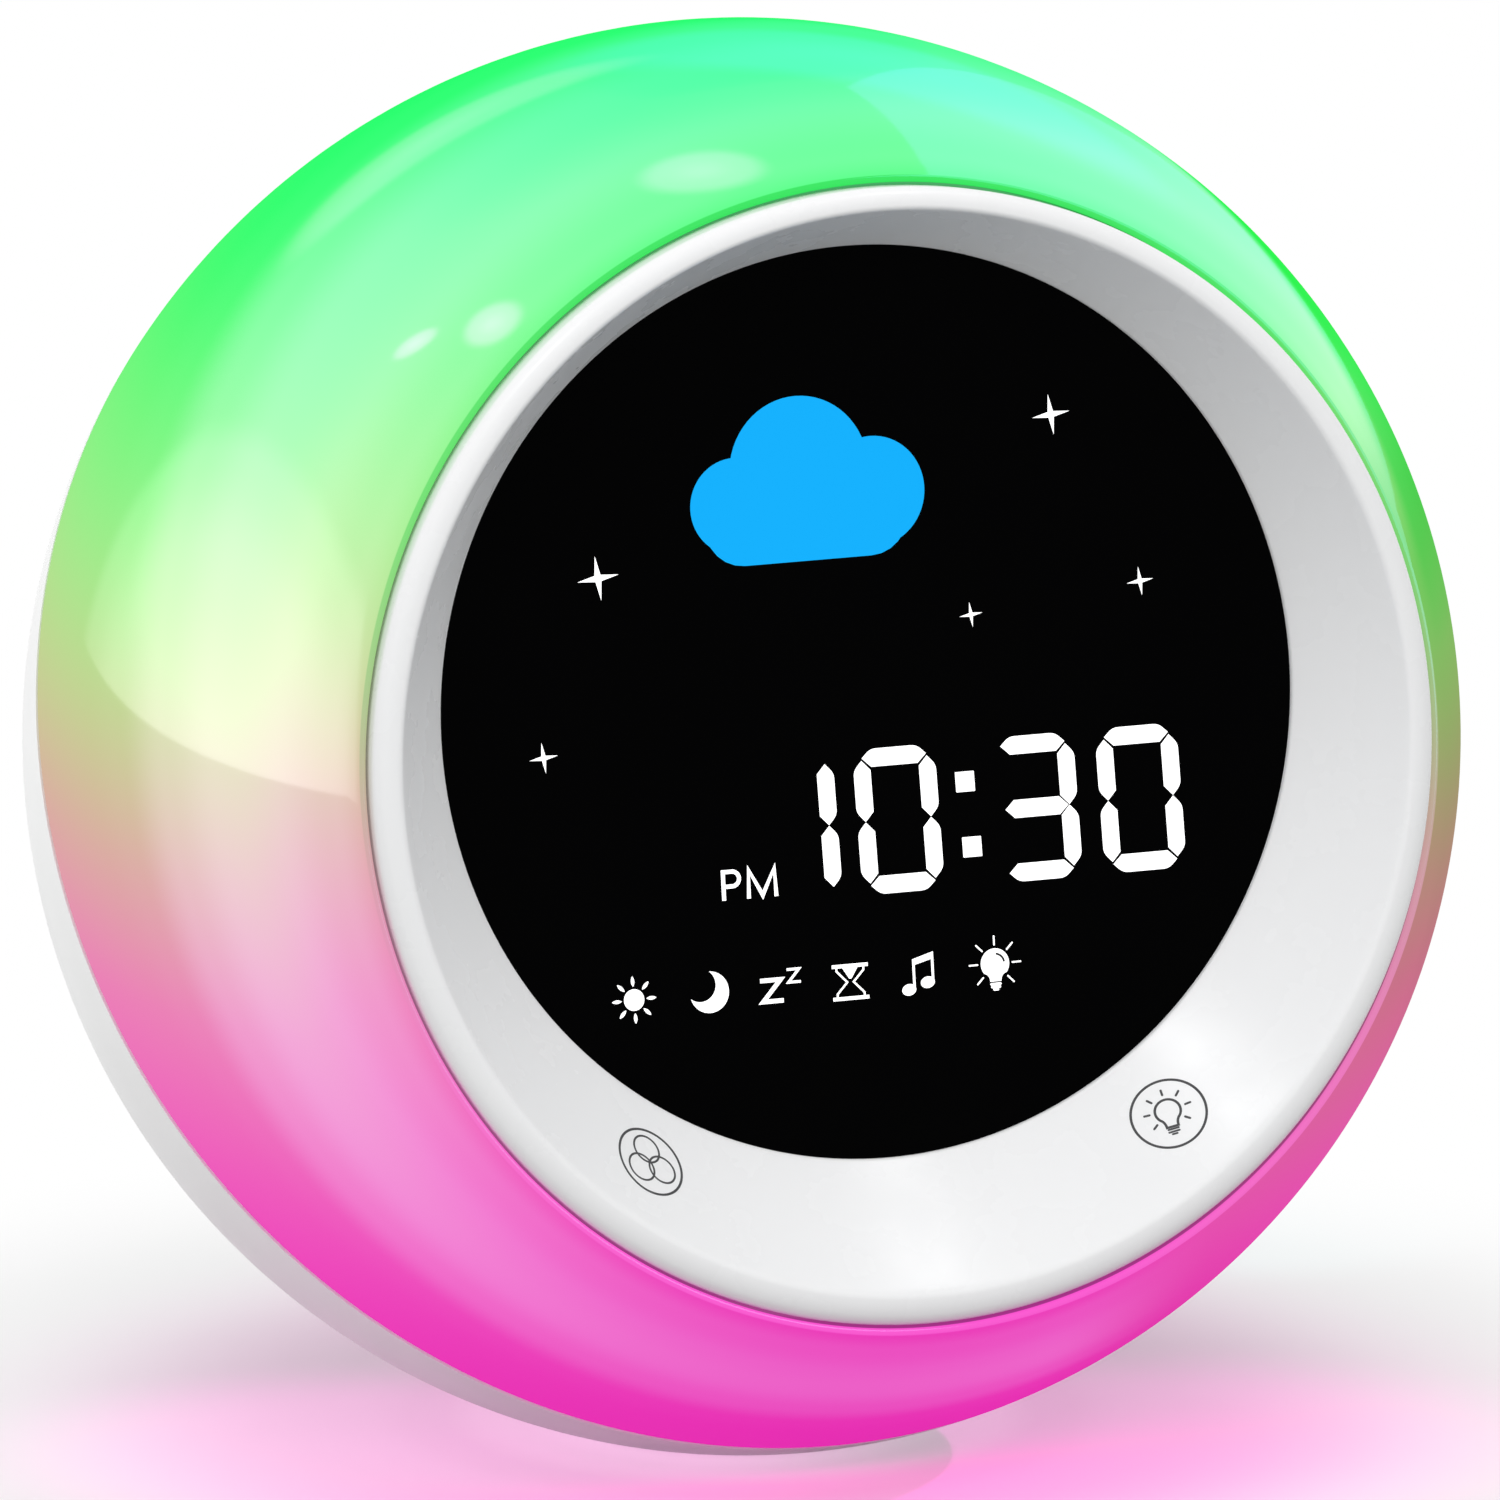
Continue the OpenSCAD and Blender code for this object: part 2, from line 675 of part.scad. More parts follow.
module display_board() color([0.1, 0.35, 0.2]) {
    at_display() translate([0, 0, board_back]) cylinder(r = lens_r - fit_gap, h = board_t);
    at_face() translate([0, ribbon_up, cover_front - board_socket_t])
        slab([ribbon_socket.x, ribbon_socket.y, board_back + board_t / 2 - cover_front + board_socket_t]);
}
module display_leds() color([0.95, 0.9, 0.6]) at_face() translate([0, 0, board_front]) {
    for (c = digit_cells, share = [0.25, 0.75])
        translate([c[0] + c[1] / 2, digit_bottom + share * digit_h, 0]) slab([digit_led_w, led_w, led_t]);
    translate([marker_cell[0] + marker_cell[2] / 2, marker_cell[1] + marker_cell[3] / 2, 0])
        slab([led_w, led_w, led_t]);
    for (x = icon_places) translate([x, icon_up, 0]) slab([led_w, led_w, led_t]);
    for (p = star_places) translate([p.x, p.y, 0]) slab([led_w, led_w, led_t]);
    for (a = [45:90:315]) translate(concat(art_place + around(art_cell_d / 4, a), 0))
        slab([led_w, led_w, led_t]);
}
module display_cover() color([0.85, 0.85, 0.84]) at_face() difference() {
    intersection() {
        union() {
            translate([0, display_up, cover_back]) cylinder(r = collar_r, h = cover_depth);
            for (p = post_places) translate([p.x, p.y, cover_front - ear_t])
                cylinder(r = boss_r + ear_margin, h = ear_t);
            translate([0, display_up - collar_r, cover_front - ear_t])
                slab([2 * (boss_r + ear_margin), cover_tab_l, ear_t]);
        }
        cylinder(r = skirt_r + ear_margin, h = far);
    }
    translate([0, display_up, cover_back + cover_wall])
        cylinder(r = lens_r - cover_rim, h = cover_depth);
    translate([0, ribbon_up, cover_back - cut])
        slab([ribbon_w + ribbon_room.x, ribbon_t + ribbon_room.y, cover_wall + 2 * cut]);
    for (p = post_places) translate([p.x, p.y, cover_back - cut])
        cylinder(r = screw_r + screw_gap, h = cover_depth + 2 * cut);
}
// Flat ribbon from the display board, through the chassis, to the main board
function ribbon_side(t, off) = let (
    a = face_point([0, ribbon_up, cover_front - board_socket_t]),
    d = seam_point([0, socket_up, main_front + ribbon_socket.z]),
    b = a - ribbon_run * face_out,
    c = d + ribbon_run * seam_out,
    p = curve(a, b, c, d, t),
    h = unit(heading(a, b, c, d, t)))
    [p.y - off * h.z, p.z + off * h.y];
module display_ribbon() color([0.85, 0.8, 0.65]) rotate([90, 0, 90]) translate([0, 0, -ribbon_w / 2])
    linear_extrude(ribbon_w) polygon(concat(
        [for (i = [0:lead_rings]) ribbon_side(i / lead_rings, ribbon_t / 2)],
        [for (i = [lead_rings:-1:0]) ribbon_side(i / lead_rings, -ribbon_t / 2)]));

// ---- Touch pads ----

module touch_pad(side) color([0.8, 0.5, 0.25]) at_face() on_slope(side)
    translate([0, 0, -touch_seat_depth - seat_gap - touch_pad_t]) cylinder(r = touch_pad_r, h = touch_pad_t);
module touch_leads() color([0.2, 0.2, 0.2]) for (side = [-1, 1]) {
    start = face_point(below_slope(side, touch_seat_depth + seat_gap + touch_pad_t + touch_lead_r));
    end = seam_point([side * touch_socket_x, socket_up, main_front + ribbon_socket.z]);
    lead(start, -touch_lead_run[0] * face_out, end, touch_lead_run[1] * seam_out, touch_lead_r);
}

// ---- Chassis and light ring ----

module chassis() color([0.9, 0.9, 0.9]) difference() {
    union() {
        at_seam() {
            translate([0, 0, plate_back]) cylinder(r = plate_r, h = plate_t);
            for (p = well_places) translate([p.x, p.y, plate_back])
                cylinder(r = plate_boss_r, h = plate_t + plate_boss_h);
            main_board_corners() translate([0, 0, main_front + seat_gap])
                cylinder(r = small_boss_r, h = main_gap + plate_t / 2);
        }
        intersection() {
            at_seam() above(-seam_back);
            at_face() for (p = post_places) translate([p.x, p.y, -far]) {
                cylinder(r = post_r, h = far + cover_back - cut);
                cylinder(r = boss_r, h = far + post_top);
            }
        }
    }
    at_seam() {
        for (p = well_places) translate([p.x, p.y, plate_back - cut])
            cylinder(r = screw_r + bore_gap, h = well_screw_l - well_floor + 2 * cut);
        main_board_corners() translate([0, 0, main_front]) cylinder(r = small_r + bore_gap, h = main_gap);
        translate([0, socket_up, plate_back - cut]) slot(slot_w, slot_h, plate_t + 2 * cut);
        light_ring_screw_places() translate([0, 0, plate_back - cut])
            cylinder(r = small_r + bore_gap, h = plate_t + 2 * cut);
    }
    at_face() for (p = post_places) translate([p.x, p.y, -far]) {
        cylinder(r = well_d / 2, h = far + post_top - post_floor);
        cylinder(r = screw_r + screw_gap, h = 2 * far);
    }
}
module light_ring_screw_places() {
    for (k = [0:ring_screws - 1]) rotate(ring_screw_turn + k * 360 / ring_screws + 180 / ring_leds)
        translate([ring_mid_r, 0, 0]) children();
}
module light_ring_board() color([0.95, 0.95, 0.95]) at_seam() translate([0, 0, plate_front]) difference() {
    tube(ring_out_r, ring_in_r, ring_t);
    light_ring_screw_places() translate([0, 0, -cut])
        cylinder(r = small_r + screw_gap, h = ring_t + 2 * cut);
}
module light_ring_leds() color([0.98, 0.98, 0.9]) at_seam() translate([0, 0, plate_front + ring_t])
    for (k = [0:ring_leds - 1]) rotate(k * 360 / ring_leds) translate([ring_mid_r, 0, 0])
        difference() {
            slab([ring_led_w, ring_led_w, ring_led_t]);
            translate([0, 0, ring_led_t - ring_led_eye[1]]) cylinder(r = ring_led_eye[0], h = cut);
        }
module light_ring_lead() color([0.75, 0.2, 0.2]) {
    foot = ring_lead_in - sqrt(ring_in_r * ring_in_r - ring_lead_x * ring_lead_x);
    start = seam_point([ring_lead_x, foot, plate_front + ring_t / 2]);
    end = seam_point([ring_lead_x, socket_up, main_front + ribbon_socket.z]);
    out = seam_point([0, ring_lead_run[0], ring_lead_run[1]]) - seam_point([0, 0, 0]);
    lead(start, out, end, ring_lead_run[2] * seam_out, touch_lead_r, [1, 0.1, 0.1]);
}

// ---- Main board ----

module main_board_corners() translate([0, main_up, 0]) for (sx = [-1, 1], sy = [-1, 1])
    translate([sx * (main_w / 2 - main_corner), sy * (main_h / 2 - main_corner), 0]) children();
module main_board() color([0.1, 0.35, 0.2]) at_seam() translate([0, 0, main_back]) difference() {
    translate([0, main_up, 0]) slab([main_w, main_h, board_t]);
    main_board_corners() translate([0, 0, -cut]) cylinder(r = small_r + screw_gap, h = board_t + 2 * cut);
}
module main_board_chips() color([0.12, 0.12, 0.13]) at_seam() translate([0, main_up, main_back])
    for (c = chips) translate([c[0], c[1], -c[4]]) slab([c[2], c[3], c[4]]);
module main_board_capacitors() color([0.25, 0.3, 0.5]) at_seam() translate([0, main_up, main_back])
    for (c = capacitors) translate([c[0], c[1], -c[3]]) cylinder(r = c[2], h = c[3]);
module main_board_sockets() color([0.92, 0.9, 0.85]) at_seam() {
    translate([0, socket_up, main_front]) slab(ribbon_socket);
    for (x = [-touch_socket_x, touch_socket_x, ring_lead_x])
        translate([x, socket_up, main_front]) slab([socket_w, ribbon_socket.y, ribbon_socket.z]);
    for (p = back_sockets) translate([p.x, p.y + main_up, main_back - back_socket.z]) slab(back_socket);
}
function back_socket_point(i) =
    seam_point([back_sockets[i].x, back_sockets[i].y + main_up, main_back - back_socket.z]);

// ---- Battery ----

module battery_tray() color([0.25, 0.25, 0.27]) {
    translate([0, cell_back, tray_bottom]) difference() {
        slab([2 * tray_half_l, 2 * tray_half_w, tray_floor + cell_r + clip_h]);
        translate([-tray_half_l + tray_wall, 0, cell_z - tray_bottom]) rotate([0, 90, 0])
            cylinder(r = cell_r + seat_gap, h = 2 * (tray_half_l - tray_wall));
        translate([0, 0, tray_floor + cell_r]) slab([cell_l * tray_open_share, far, clip_h + cut]);
    }
    difference() {
        for (side = [-1, 1]) translate([side * lug_x, cell_back + side * lug_out, tray_bottom]) {
            cylinder(r = lug_r, h = lug_t);
            translate([0, -side * lug_r, 0]) slab([2 * lug_r, 2 * lug_r, lug_t]);
        }
        tray_boss_places() translate([0, 0, tray_bottom - cut])
            cylinder(r = small_r + screw_gap, h = lug_t + 2 * cut);
        translate([-far / 2, cell_back, cell_z]) rotate([0, 90, 0]) cylinder(r = cell_r + seat_gap, h = far);
    }
}
module battery_cell() color([0.2, 0.45, 0.7]) translate([-cell_l / 2, cell_back, cell_z]) rotate([0, 90, 0]) {
    cylinder(r = cell_r, h = cell_l);
    cylinder(r = nub_r, h = cell_l + cell_end_gap);
}
module battery_lead() color([0.75, 0.15, 0.15]) {
    start = [-tray_half_l + tray_wall / 2, cell_back - cell_r * 0.8, cell_z + clip_h - seat_gap];
    lead(start, battery_lead_out, back_socket_point(0), -battery_lead_run * seam_out, lead_r);
}

// ---- Speaker ----

module speaker_gasket() color([0.15, 0.15, 0.15]) at_rear() translate([0, 0, panel_in - gasket_t])
    tube(speaker_r - gasket_edge, speaker_r - gasket_w, gasket_t);
module speaker_frame() color([0.35, 0.36, 0.38]) at_rear() difference() {
    union() {
        rotate_extrude() polygon([
            [cone_seat_r, frame_front], [speaker_r, frame_front],
            [speaker_r, frame_front - frame_t], [cone_seat_r + basket_play[0], basket_top],
            [basket_foot, frame_back], [coil_hole_r, frame_back], [coil_hole_r, frame_back + basket_t],
            [basket_foot - basket_t, frame_back + basket_t],
            [cone_seat_r - cone_rim_w - basket_play[1], basket_top],
            [cone_seat_r - cone_rim_w, frame_front - frame_t], [cone_seat_r, frame_front - frame_t]]);
        speaker_boss_places() translate([0, 0, frame_front - frame_t]) cylinder(r = ear_r, h = frame_t);
        for (a = ear_angles) rotate(a) translate([speaker_r - cut, -ear_r, frame_front - frame_t])
            cube([ear_at - speaker_r + cut, 2 * ear_r, frame_t]);
        rotate(-90) translate([magnet_r - tag_in, -tag.y / 2, frame_back]) cube(tag);
    }
    speaker_boss_places() translate([0, 0, frame_front - frame_t - cut])
        cylinder(r = small_r + screw_gap, h = frame_t + 2 * cut);
}
// The cone's rim lies on the frame's inner step, and its coil reaches into the magnet
module speaker_cone() color([0.12, 0.12, 0.13]) at_rear() rotate_extrude() polygon([
    [0, cap_top], [cap_r, cone_deep],
    [cone_edge_r - cone_t / 2, cone_rim_back + cone_t], [cone_seat_r - seat_gap, cone_rim_back + cone_t],
    [cone_seat_r - seat_gap, cone_rim_back], [cone_edge_r, cone_rim_back],
    [cap_r, cone_deep - cone_t], [coil_r, cone_deep - cone_t],
    [coil_r, frame_back - coil_in], [0, frame_back - coil_in]]);
module speaker_magnet() color([0.6, 0.6, 0.62]) at_rear() difference() {
    translate([0, 0, frame_back - magnet_t]) cylinder(r = magnet_r, h = magnet_t - seat_gap);
    translate([0, 0, frame_back - coil_hole_depth]) cylinder(r = coil_hole_r, h = far);
}
module speaker_lead() color([0.2, 0.2, 0.2]) {
    start = rear_point([0, tag_in / 2 - tag.x / 2 - magnet_r, frame_back]);
    lead(start, [0, -speaker_lead_run[0], 0], back_socket_point(1), -speaker_lead_run[1] * seam_out, lead_r);
}

// ---- Rear board, keys, switch and charging socket ----

module at_key(i) at_rear() rotate(i * key_step) translate([key_ring_r, 0, 0]) children();
module rear_board() color([0.1, 0.35, 0.2]) at_rear() difference() {
    translate([0, 0, rear_back]) tube(rear_out_r, rear_in_r, board_t);
    rear_boss_places() translate([0, 0, rear_back - cut])
        cylinder(r = small_r + screw_gap, h = board_t + 2 * cut);
}
module key_switches() color([0.2, 0.2, 0.22]) for (i = [light_key:alarm_key]) at_key(i)
    translate([0, 0, rear_front]) difference() {
        slab([switch_w, switch_w, switch_t]);
        translate([0, 0, switch_t - plunger_in - key_travel - plunger_stop])
            cylinder(r = plunger_r + bore_gap, h = switch_t);
    }
module plunger(i) color([0.85, 0.85, 0.8]) at_key(i)
    translate([0, 0, rear_front + switch_t - plunger_in])
    cylinder(r = plunger_r, h = plunger_in + plunger_out);
module key(i) color([0.8, 0.82, 0.85]) at_key(i) {
    key_mid = key_back + key_post_l + collar_t / 2;
    translate([0, 0, key_back]) cylinder(r = key_post_r, h = key_mid - key_back);
    translate([0, 0, key_mid - collar_t / 2]) cylinder(r = key_r + key_gap + key_collar, h = collar_t);
    translate([0, 0, key_mid]) cylinder(r = key_r, h = key_top - key_edge - key_mid);
    translate([0, 0, key_top - key_edge]) cylinder(r1 = key_r, r2 = key_r - key_edge, h = key_edge);
}
module at_knob() at_rear() translate([knob_place.x, knob_place.y, 0]) children();
module switch_body() color([0.2, 0.2, 0.22]) at_knob() translate([0, 0, rear_front]) difference() {
    slab(knob_body);
    translate([0, 0, knob_body.z - knob_slot_depth])
        slab([knob_post + knob_travel + 2 * key_gap, knob_post + 2 * bore_gap, knob_slot_depth + cut]);
}
// At rest the switch is off, at the left end of its slot seen from behind
module switch_knob() color([0.25, 0.26, 0.3]) at_knob() translate([-knob_travel / 2, 0, 0]) {
    post_back = rear_front + knob_body.z - knob_post_in;
    plate = panel_in - seat_gap - knob_plate_t;
    translate([0, 0, post_back]) slab([knob_post, knob_post, plate - post_back + knob_plate_t / 2]);
    translate([0, 0, plate])
        slab([knob_w + knob_travel + 2 * knob_lap, knob_h + 2 * key_gap + 2 * knob_lap, knob_plate_t]);
    translate([0, 0, plate + knob_plate_t / 2])
        slab([knob_w, knob_h, panel_w - knob_sunk - plate - knob_plate_t / 2]);
}
module usb_socket() color([0.7, 0.72, 0.74]) at_rear() translate([usb_place.x, usb_place.y, rear_front])
    difference() {
        depth = panel_w - usb_recess - rear_front;
        slot(usb_w, usb_h, depth);
        translate([0, 0, usb_back]) difference() {
            slot(usb_w - 2 * usb_wall, usb_h - 2 * usb_wall, depth);
            slab([usb_tongue_w, usb_tongue_t, depth - usb_back - cut]);
        }
    }
module rear_board_lead() color([0.9, 0.9, 0.9]) {
    p = rear_socket_at;
    start = rear_point([p.x, p.y, rear_back - rear_socket.z + rear_lead_in]);
    at_rear() translate([p.x, p.y, rear_back - rear_socket.z]) slab(rear_socket);
    lead(start, [0, -rear_lead_run[0], 0], back_socket_point(2), -rear_lead_run[1] * seam_out, lead_r);
}

// ---- Screws ----

module housing_screws() color([0.6, 0.62, 0.65]) at_seam() for (p = well_places)
    translate([p.x, p.y, well_top - well_floor - seat_gap])
        screw(screw_r, well_screw_l, screw_head_d / 2, head_t);
module bezel_screws() color([0.6, 0.62, 0.65]) at_face() for (p = post_places)
    translate([p.x, p.y, post_top - post_floor - seat_gap])
        screw(screw_r, post_screw_l, screw_head_d / 2, head_t);
module main_board_screws() color([0.6, 0.62, 0.65]) at_seam() main_board_corners()
    translate([0, 0, main_back - seat_gap]) screw(small_r, board_screw_l, small_head_d / 2, small_head_t);
module light_ring_screws() color([0.6, 0.62, 0.65]) at_seam() light_ring_screw_places()
    translate([0, 0, plate_front + ring_t + seat_gap]) mirror([0, 0, 1])
        screw(small_r, ring_t + plate_t, small_head_d / 2, small_head_t);
module rear_board_screws() color([0.6, 0.62, 0.65]) at_rear() rear_boss_places()
    translate([0, 0, rear_back - seat_gap]) screw(small_r, board_screw_l, small_head_d / 2, small_head_t);
module speaker_screws() color([0.6, 0.62, 0.65]) at_rear() speaker_boss_places()
    translate([0, 0, frame_front - frame_t - seat_gap])
        screw(small_r, speaker_screw_l, small_head_d / 2, small_head_t);
module tray_screws() color([0.6, 0.62, 0.65]) tray_boss_places()
    translate([0, 0, tray_bottom + lug_t + seat_gap]) mirror([0, 0, 1])
        screw(small_r, board_screw_l, small_head_d / 2, small_head_t);

rear_housing();
diffuser_shell();
front_bezel();
light_seal();
base_pad();
display_lens();
display_mask();
display_light_box();
display_board();
display_leds();
display_cover();
display_ribbon();
touch_pad(-1);  // touch_pad_left
touch_pad(1);  // touch_pad_right
touch_leads();
chassis();
light_ring_board();
light_ring_leds();
light_ring_lead();
main_board();
main_board_chips();
main_board_capacitors();
main_board_sockets();
battery_tray();
battery_cell();
battery_lead();
speaker_gasket();
speaker_frame();
speaker_cone();
speaker_magnet();
speaker_lead();
rear_board();
rear_board_lead();
key_switches();
switch_body();
switch_knob();
usb_socket();
key(alarm_key);  // key_alarm
key(set_key);  // key_set
key(up_key);  // key_up
key(down_key);  // key_down
key(sound_key);  // key_sound
key(light_key);  // key_light
plunger(alarm_key);  // plunger_alarm
plunger(set_key);  // plunger_set
plunger(up_key);  // plunger_up
plunger(down_key);  // plunger_down
plunger(sound_key);  // plunger_sound
plunger(light_key);  // plunger_light
housing_screws();
bezel_screws();
main_board_screws();
light_ring_screws();
rear_board_screws();
speaker_screws();
tray_screws();
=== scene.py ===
"""Looks of a ball-shaped children's alarm clock with a glowing night-light diffuser.

Lengths are written in millimetres and turned into metres where a mesh or an object is made. The
face, the parting plane and the rear panel each have their own frame at the ball's centre, with
+Z pointing out of them.
"""
from fnmatch import fnmatch
from math import acos, atan2, cos, degrees, hypot, pi, radians, sin, sqrt, tan

import bmesh
import bpy
from mathutils import Matrix, Vector


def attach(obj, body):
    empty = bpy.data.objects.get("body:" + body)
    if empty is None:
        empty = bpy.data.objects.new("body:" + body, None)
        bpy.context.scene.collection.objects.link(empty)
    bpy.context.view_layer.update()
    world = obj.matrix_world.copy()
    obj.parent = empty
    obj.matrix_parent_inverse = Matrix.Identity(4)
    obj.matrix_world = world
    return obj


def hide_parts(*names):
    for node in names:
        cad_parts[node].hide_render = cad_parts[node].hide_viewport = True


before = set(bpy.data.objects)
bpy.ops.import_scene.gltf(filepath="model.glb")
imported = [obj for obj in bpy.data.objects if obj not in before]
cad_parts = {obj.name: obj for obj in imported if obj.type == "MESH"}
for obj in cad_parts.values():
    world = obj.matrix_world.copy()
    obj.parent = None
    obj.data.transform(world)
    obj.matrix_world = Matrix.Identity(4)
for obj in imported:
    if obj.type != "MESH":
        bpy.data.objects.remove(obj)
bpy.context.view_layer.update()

MM = 0.001
CLOCK = "clock"
AROUND = 288
TURNS = [2 * pi * k / AROUND for k in range(AROUND)]
SHARP_ANGLE = 32
UP = Vector((0, 0, 1))

# ---- Driving dimensions, as in the solids ----

BALL_R = 75
HOUSING_WALL = 2.4
DIFFUSER_WALL = 2.2
PAD_PROUD = 0.3
BASE_FLAT_R = 19.4
PAD_R = 17.9
PAD_T = 1.5
FLOOR_WALL = 3
SEAM_LEAN = 27.4
SEAM_BACK = 8.5
SEAM_GAP = 0.7
FACE_LEAN = 8
BEZEL_R = 58.7
MOUTH_R = 59
RIM_UP = 0.93
RIM_D = 46.5
RIM_W = 2.6
REBATE_R = 57.1
REBATE_D = 42.5
REBATE_T = 1.5
CREST_RISE = 1
CREST_UP = 1.4
CREST_FLAT = 0.15
BAND_BULGE = 0.35
DISPLAY_R = 47.25
DISPLAY_UP = 5.9
DISPLAY_D = 36.1
WINDOW_LAND = 0.5
LENS_R = 49.25
LENS_UP = 6.1
PANEL_R = 37
SEAT_GAP = 0.1

CENTRE_Z = PAD_PROUD + sqrt(BALL_R ** 2 - BASE_FLAT_R ** 2)
CREST_R = BEZEL_R - RIM_W
LIP_R = CREST_R - CREST_FLAT
CREST_D = RIM_D + CREST_RISE
LAND_D = DISPLAY_D + WINDOW_LAND
PANEL_W = sqrt(BALL_R ** 2 - PANEL_R ** 2)
PANEL_IN = PANEL_W - HOUSING_WALL

# ---- Frames ----

CENTRE_POINT = UP * CENTRE_Z
CENTRE = Matrix.Translation(CENTRE_POINT)


def leaning(lean):
    """Frame at the ball's centre whose +Z leans back from -Y by lean degrees."""
    return CENTRE @ Matrix.Rotation(radians(90 - lean), 4, "X")


FACE = leaning(FACE_LEAN)
SEAM = leaning(SEAM_LEAN)
REAR = CENTRE @ Matrix.Rotation(pi, 4, "Z") @ Matrix.Rotation(pi / 2, 4, "X")
WORLD = Matrix.Identity(4)
FACE_OUT = FACE.to_3x3() @ UP
SEAM_OUT = SEAM.to_3x3() @ UP
REAR_OUT = REAR.to_3x3() @ UP
DISPLAY = FACE @ Matrix.Translation((0, 0, DISPLAY_D))


# ---- Mesh helpers ----

def arc(x, y, r, start, end, steps):
    """Points of an arc around (x, y), with angles in degrees."""
    angles = [radians(start + (end - start) * i / steps) for i in range(steps + 1)]
    return [(x + r * cos(a), y + r * sin(a)) for a in angles]


def spoke(r, angle):
    """The point at distance r from the middle, at an angle in degrees."""
    return r * cos(radians(angle)), r * sin(radians(angle))


def blend_corner(a, corner, b, steps):
    """Points of a soft corner from a to b."""
    a, corner, b = Vector(a), Vector(corner), Vector(b)
    ts = [i / steps for i in range(steps + 1)]
    return [(1 - t) ** 2 * a + 2 * t * (1 - t) * corner + t * t * b for t in ts]


def soften(mesh):
    """Smooth shading, with the edges that turn sharply kept crisp."""
    bm = bmesh.new()
    bm.from_mesh(mesh)
    bmesh.ops.recalc_face_normals(bm, faces=bm.faces)
    for face in bm.faces:
        face.smooth = True
    for edge in bm.edges:
        edge.smooth = len(edge.link_faces) == 2 and edge.calc_face_angle(0) < radians(SHARP_ANGLE)
    bm.to_mesh(mesh)
    bm.free()


def new_object(name, points, faces, matrix=WORLD):
    """A mesh object from points in millimetres, given in a frame."""
    mesh = bpy.data.meshes.new(name)
    mesh.from_pydata([tuple(p) for p in points], [], faces)
    mesh.transform(Matrix.Scale(MM, 4) @ matrix)
    soften(mesh)
    piece = bpy.data.objects.new(name, mesh)
    bpy.context.scene.collection.objects.link(piece)
    return piece


def band(low, high, count):
    """Faces between two rings of count points each, which start at low and at high."""
    return [(low + k, low + (k + 1) % count, high + (k + 1) % count, high + k) for k in range(count)]


def ring_skin(rings):
    """Points and faces of a closed skin over rings, where the last ring joins the first."""
    count = len(rings[0])
    points = [p for ring in rings for p in ring]
    faces = []
    for low in range(0, len(points), count):
        faces += band(low, (low + count) % len(points), count)
    return points, faces


def turned(profile, around=AROUND):
    """Points and faces of a turned solid. Its profile runs from the axis to the axis, as (r, z)."""
    turns = [2 * pi * k / around for k in range(around)]
    points = [(0, 0, profile[0][1])]
    points += [(r * cos(t), r * sin(t), z) for r, z in profile[1:-1] for t in turns]
    points.append((0, 0, profile[-1][1]))
    last = len(points) - 1
    top = last - around
    faces = [(0, 1 + (k + 1) % around, 1 + k) for k in range(around)]
    for low in range(1, top, around):
        faces += band(low, low + around, around)
    faces += [(last, top + k, top + (k + 1) % around) for k in range(around)]
    return points, faces


def stack(layers):
    """Points and faces of a solid over outlines with equal counts, given as (outline, height)."""
    count = len(layers[0][0])
    points = [(x, y, z) for outline, z in layers for x, y in outline]
    top = len(points) - count
    faces = [tuple(range(count - 1, -1, -1)), tuple(range(top, top + count))]
    for low in range(0, top, count):
        faces += band(low, low + count, count)
    return points, faces


def prism(outline, bottom, top):
    """Points and faces of an upright solid over an outline."""
    return stack([(outline, bottom), (outline, top)])


def moved(solid, x=0.0, y=0.0, turn=0.0, scale=1.0):
    """A solid's points and faces, scaled and turned in plan about its origin, in degrees, and then moved."""
    points, faces = solid
    c, s = spoke(scale, turn)
    return [(x + c * p[0] - s * p[1], y + s * p[0] + c * p[1], p[2]) for p in points], faces


def boolean(piece, tools, operation):
    """Joins or cuts a piece by other objects, which are then removed."""
    for tool in tools:
        modifier = piece.modifiers.new("cut", "BOOLEAN")
        modifier.object = tool
        modifier.operation = operation
        modifier.solver = "MANIFOLD"
    baked(piece)
    for tool in tools:
        bpy.data.objects.remove(tool)


def baked(piece):
    """Applies the piece's modifiers to its mesh."""
    bpy.context.view_layer.update()
    graph = bpy.context.evaluated_depsgraph_get()
    mesh = bpy.data.meshes.new_from_object(piece.evaluated_get(graph))
    piece.modifiers.clear()
    piece.data = mesh


def dress(piece, material, body=CLOCK, replaces=()):
    """Gives a piece its material, its body and the nodes that it stands for."""
    piece.data.materials.clear()
    piece.data.materials.append(material)
    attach(piece, body)
    if replaces:
        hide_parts(*replaces)
    return piece


# ---- Materials ----

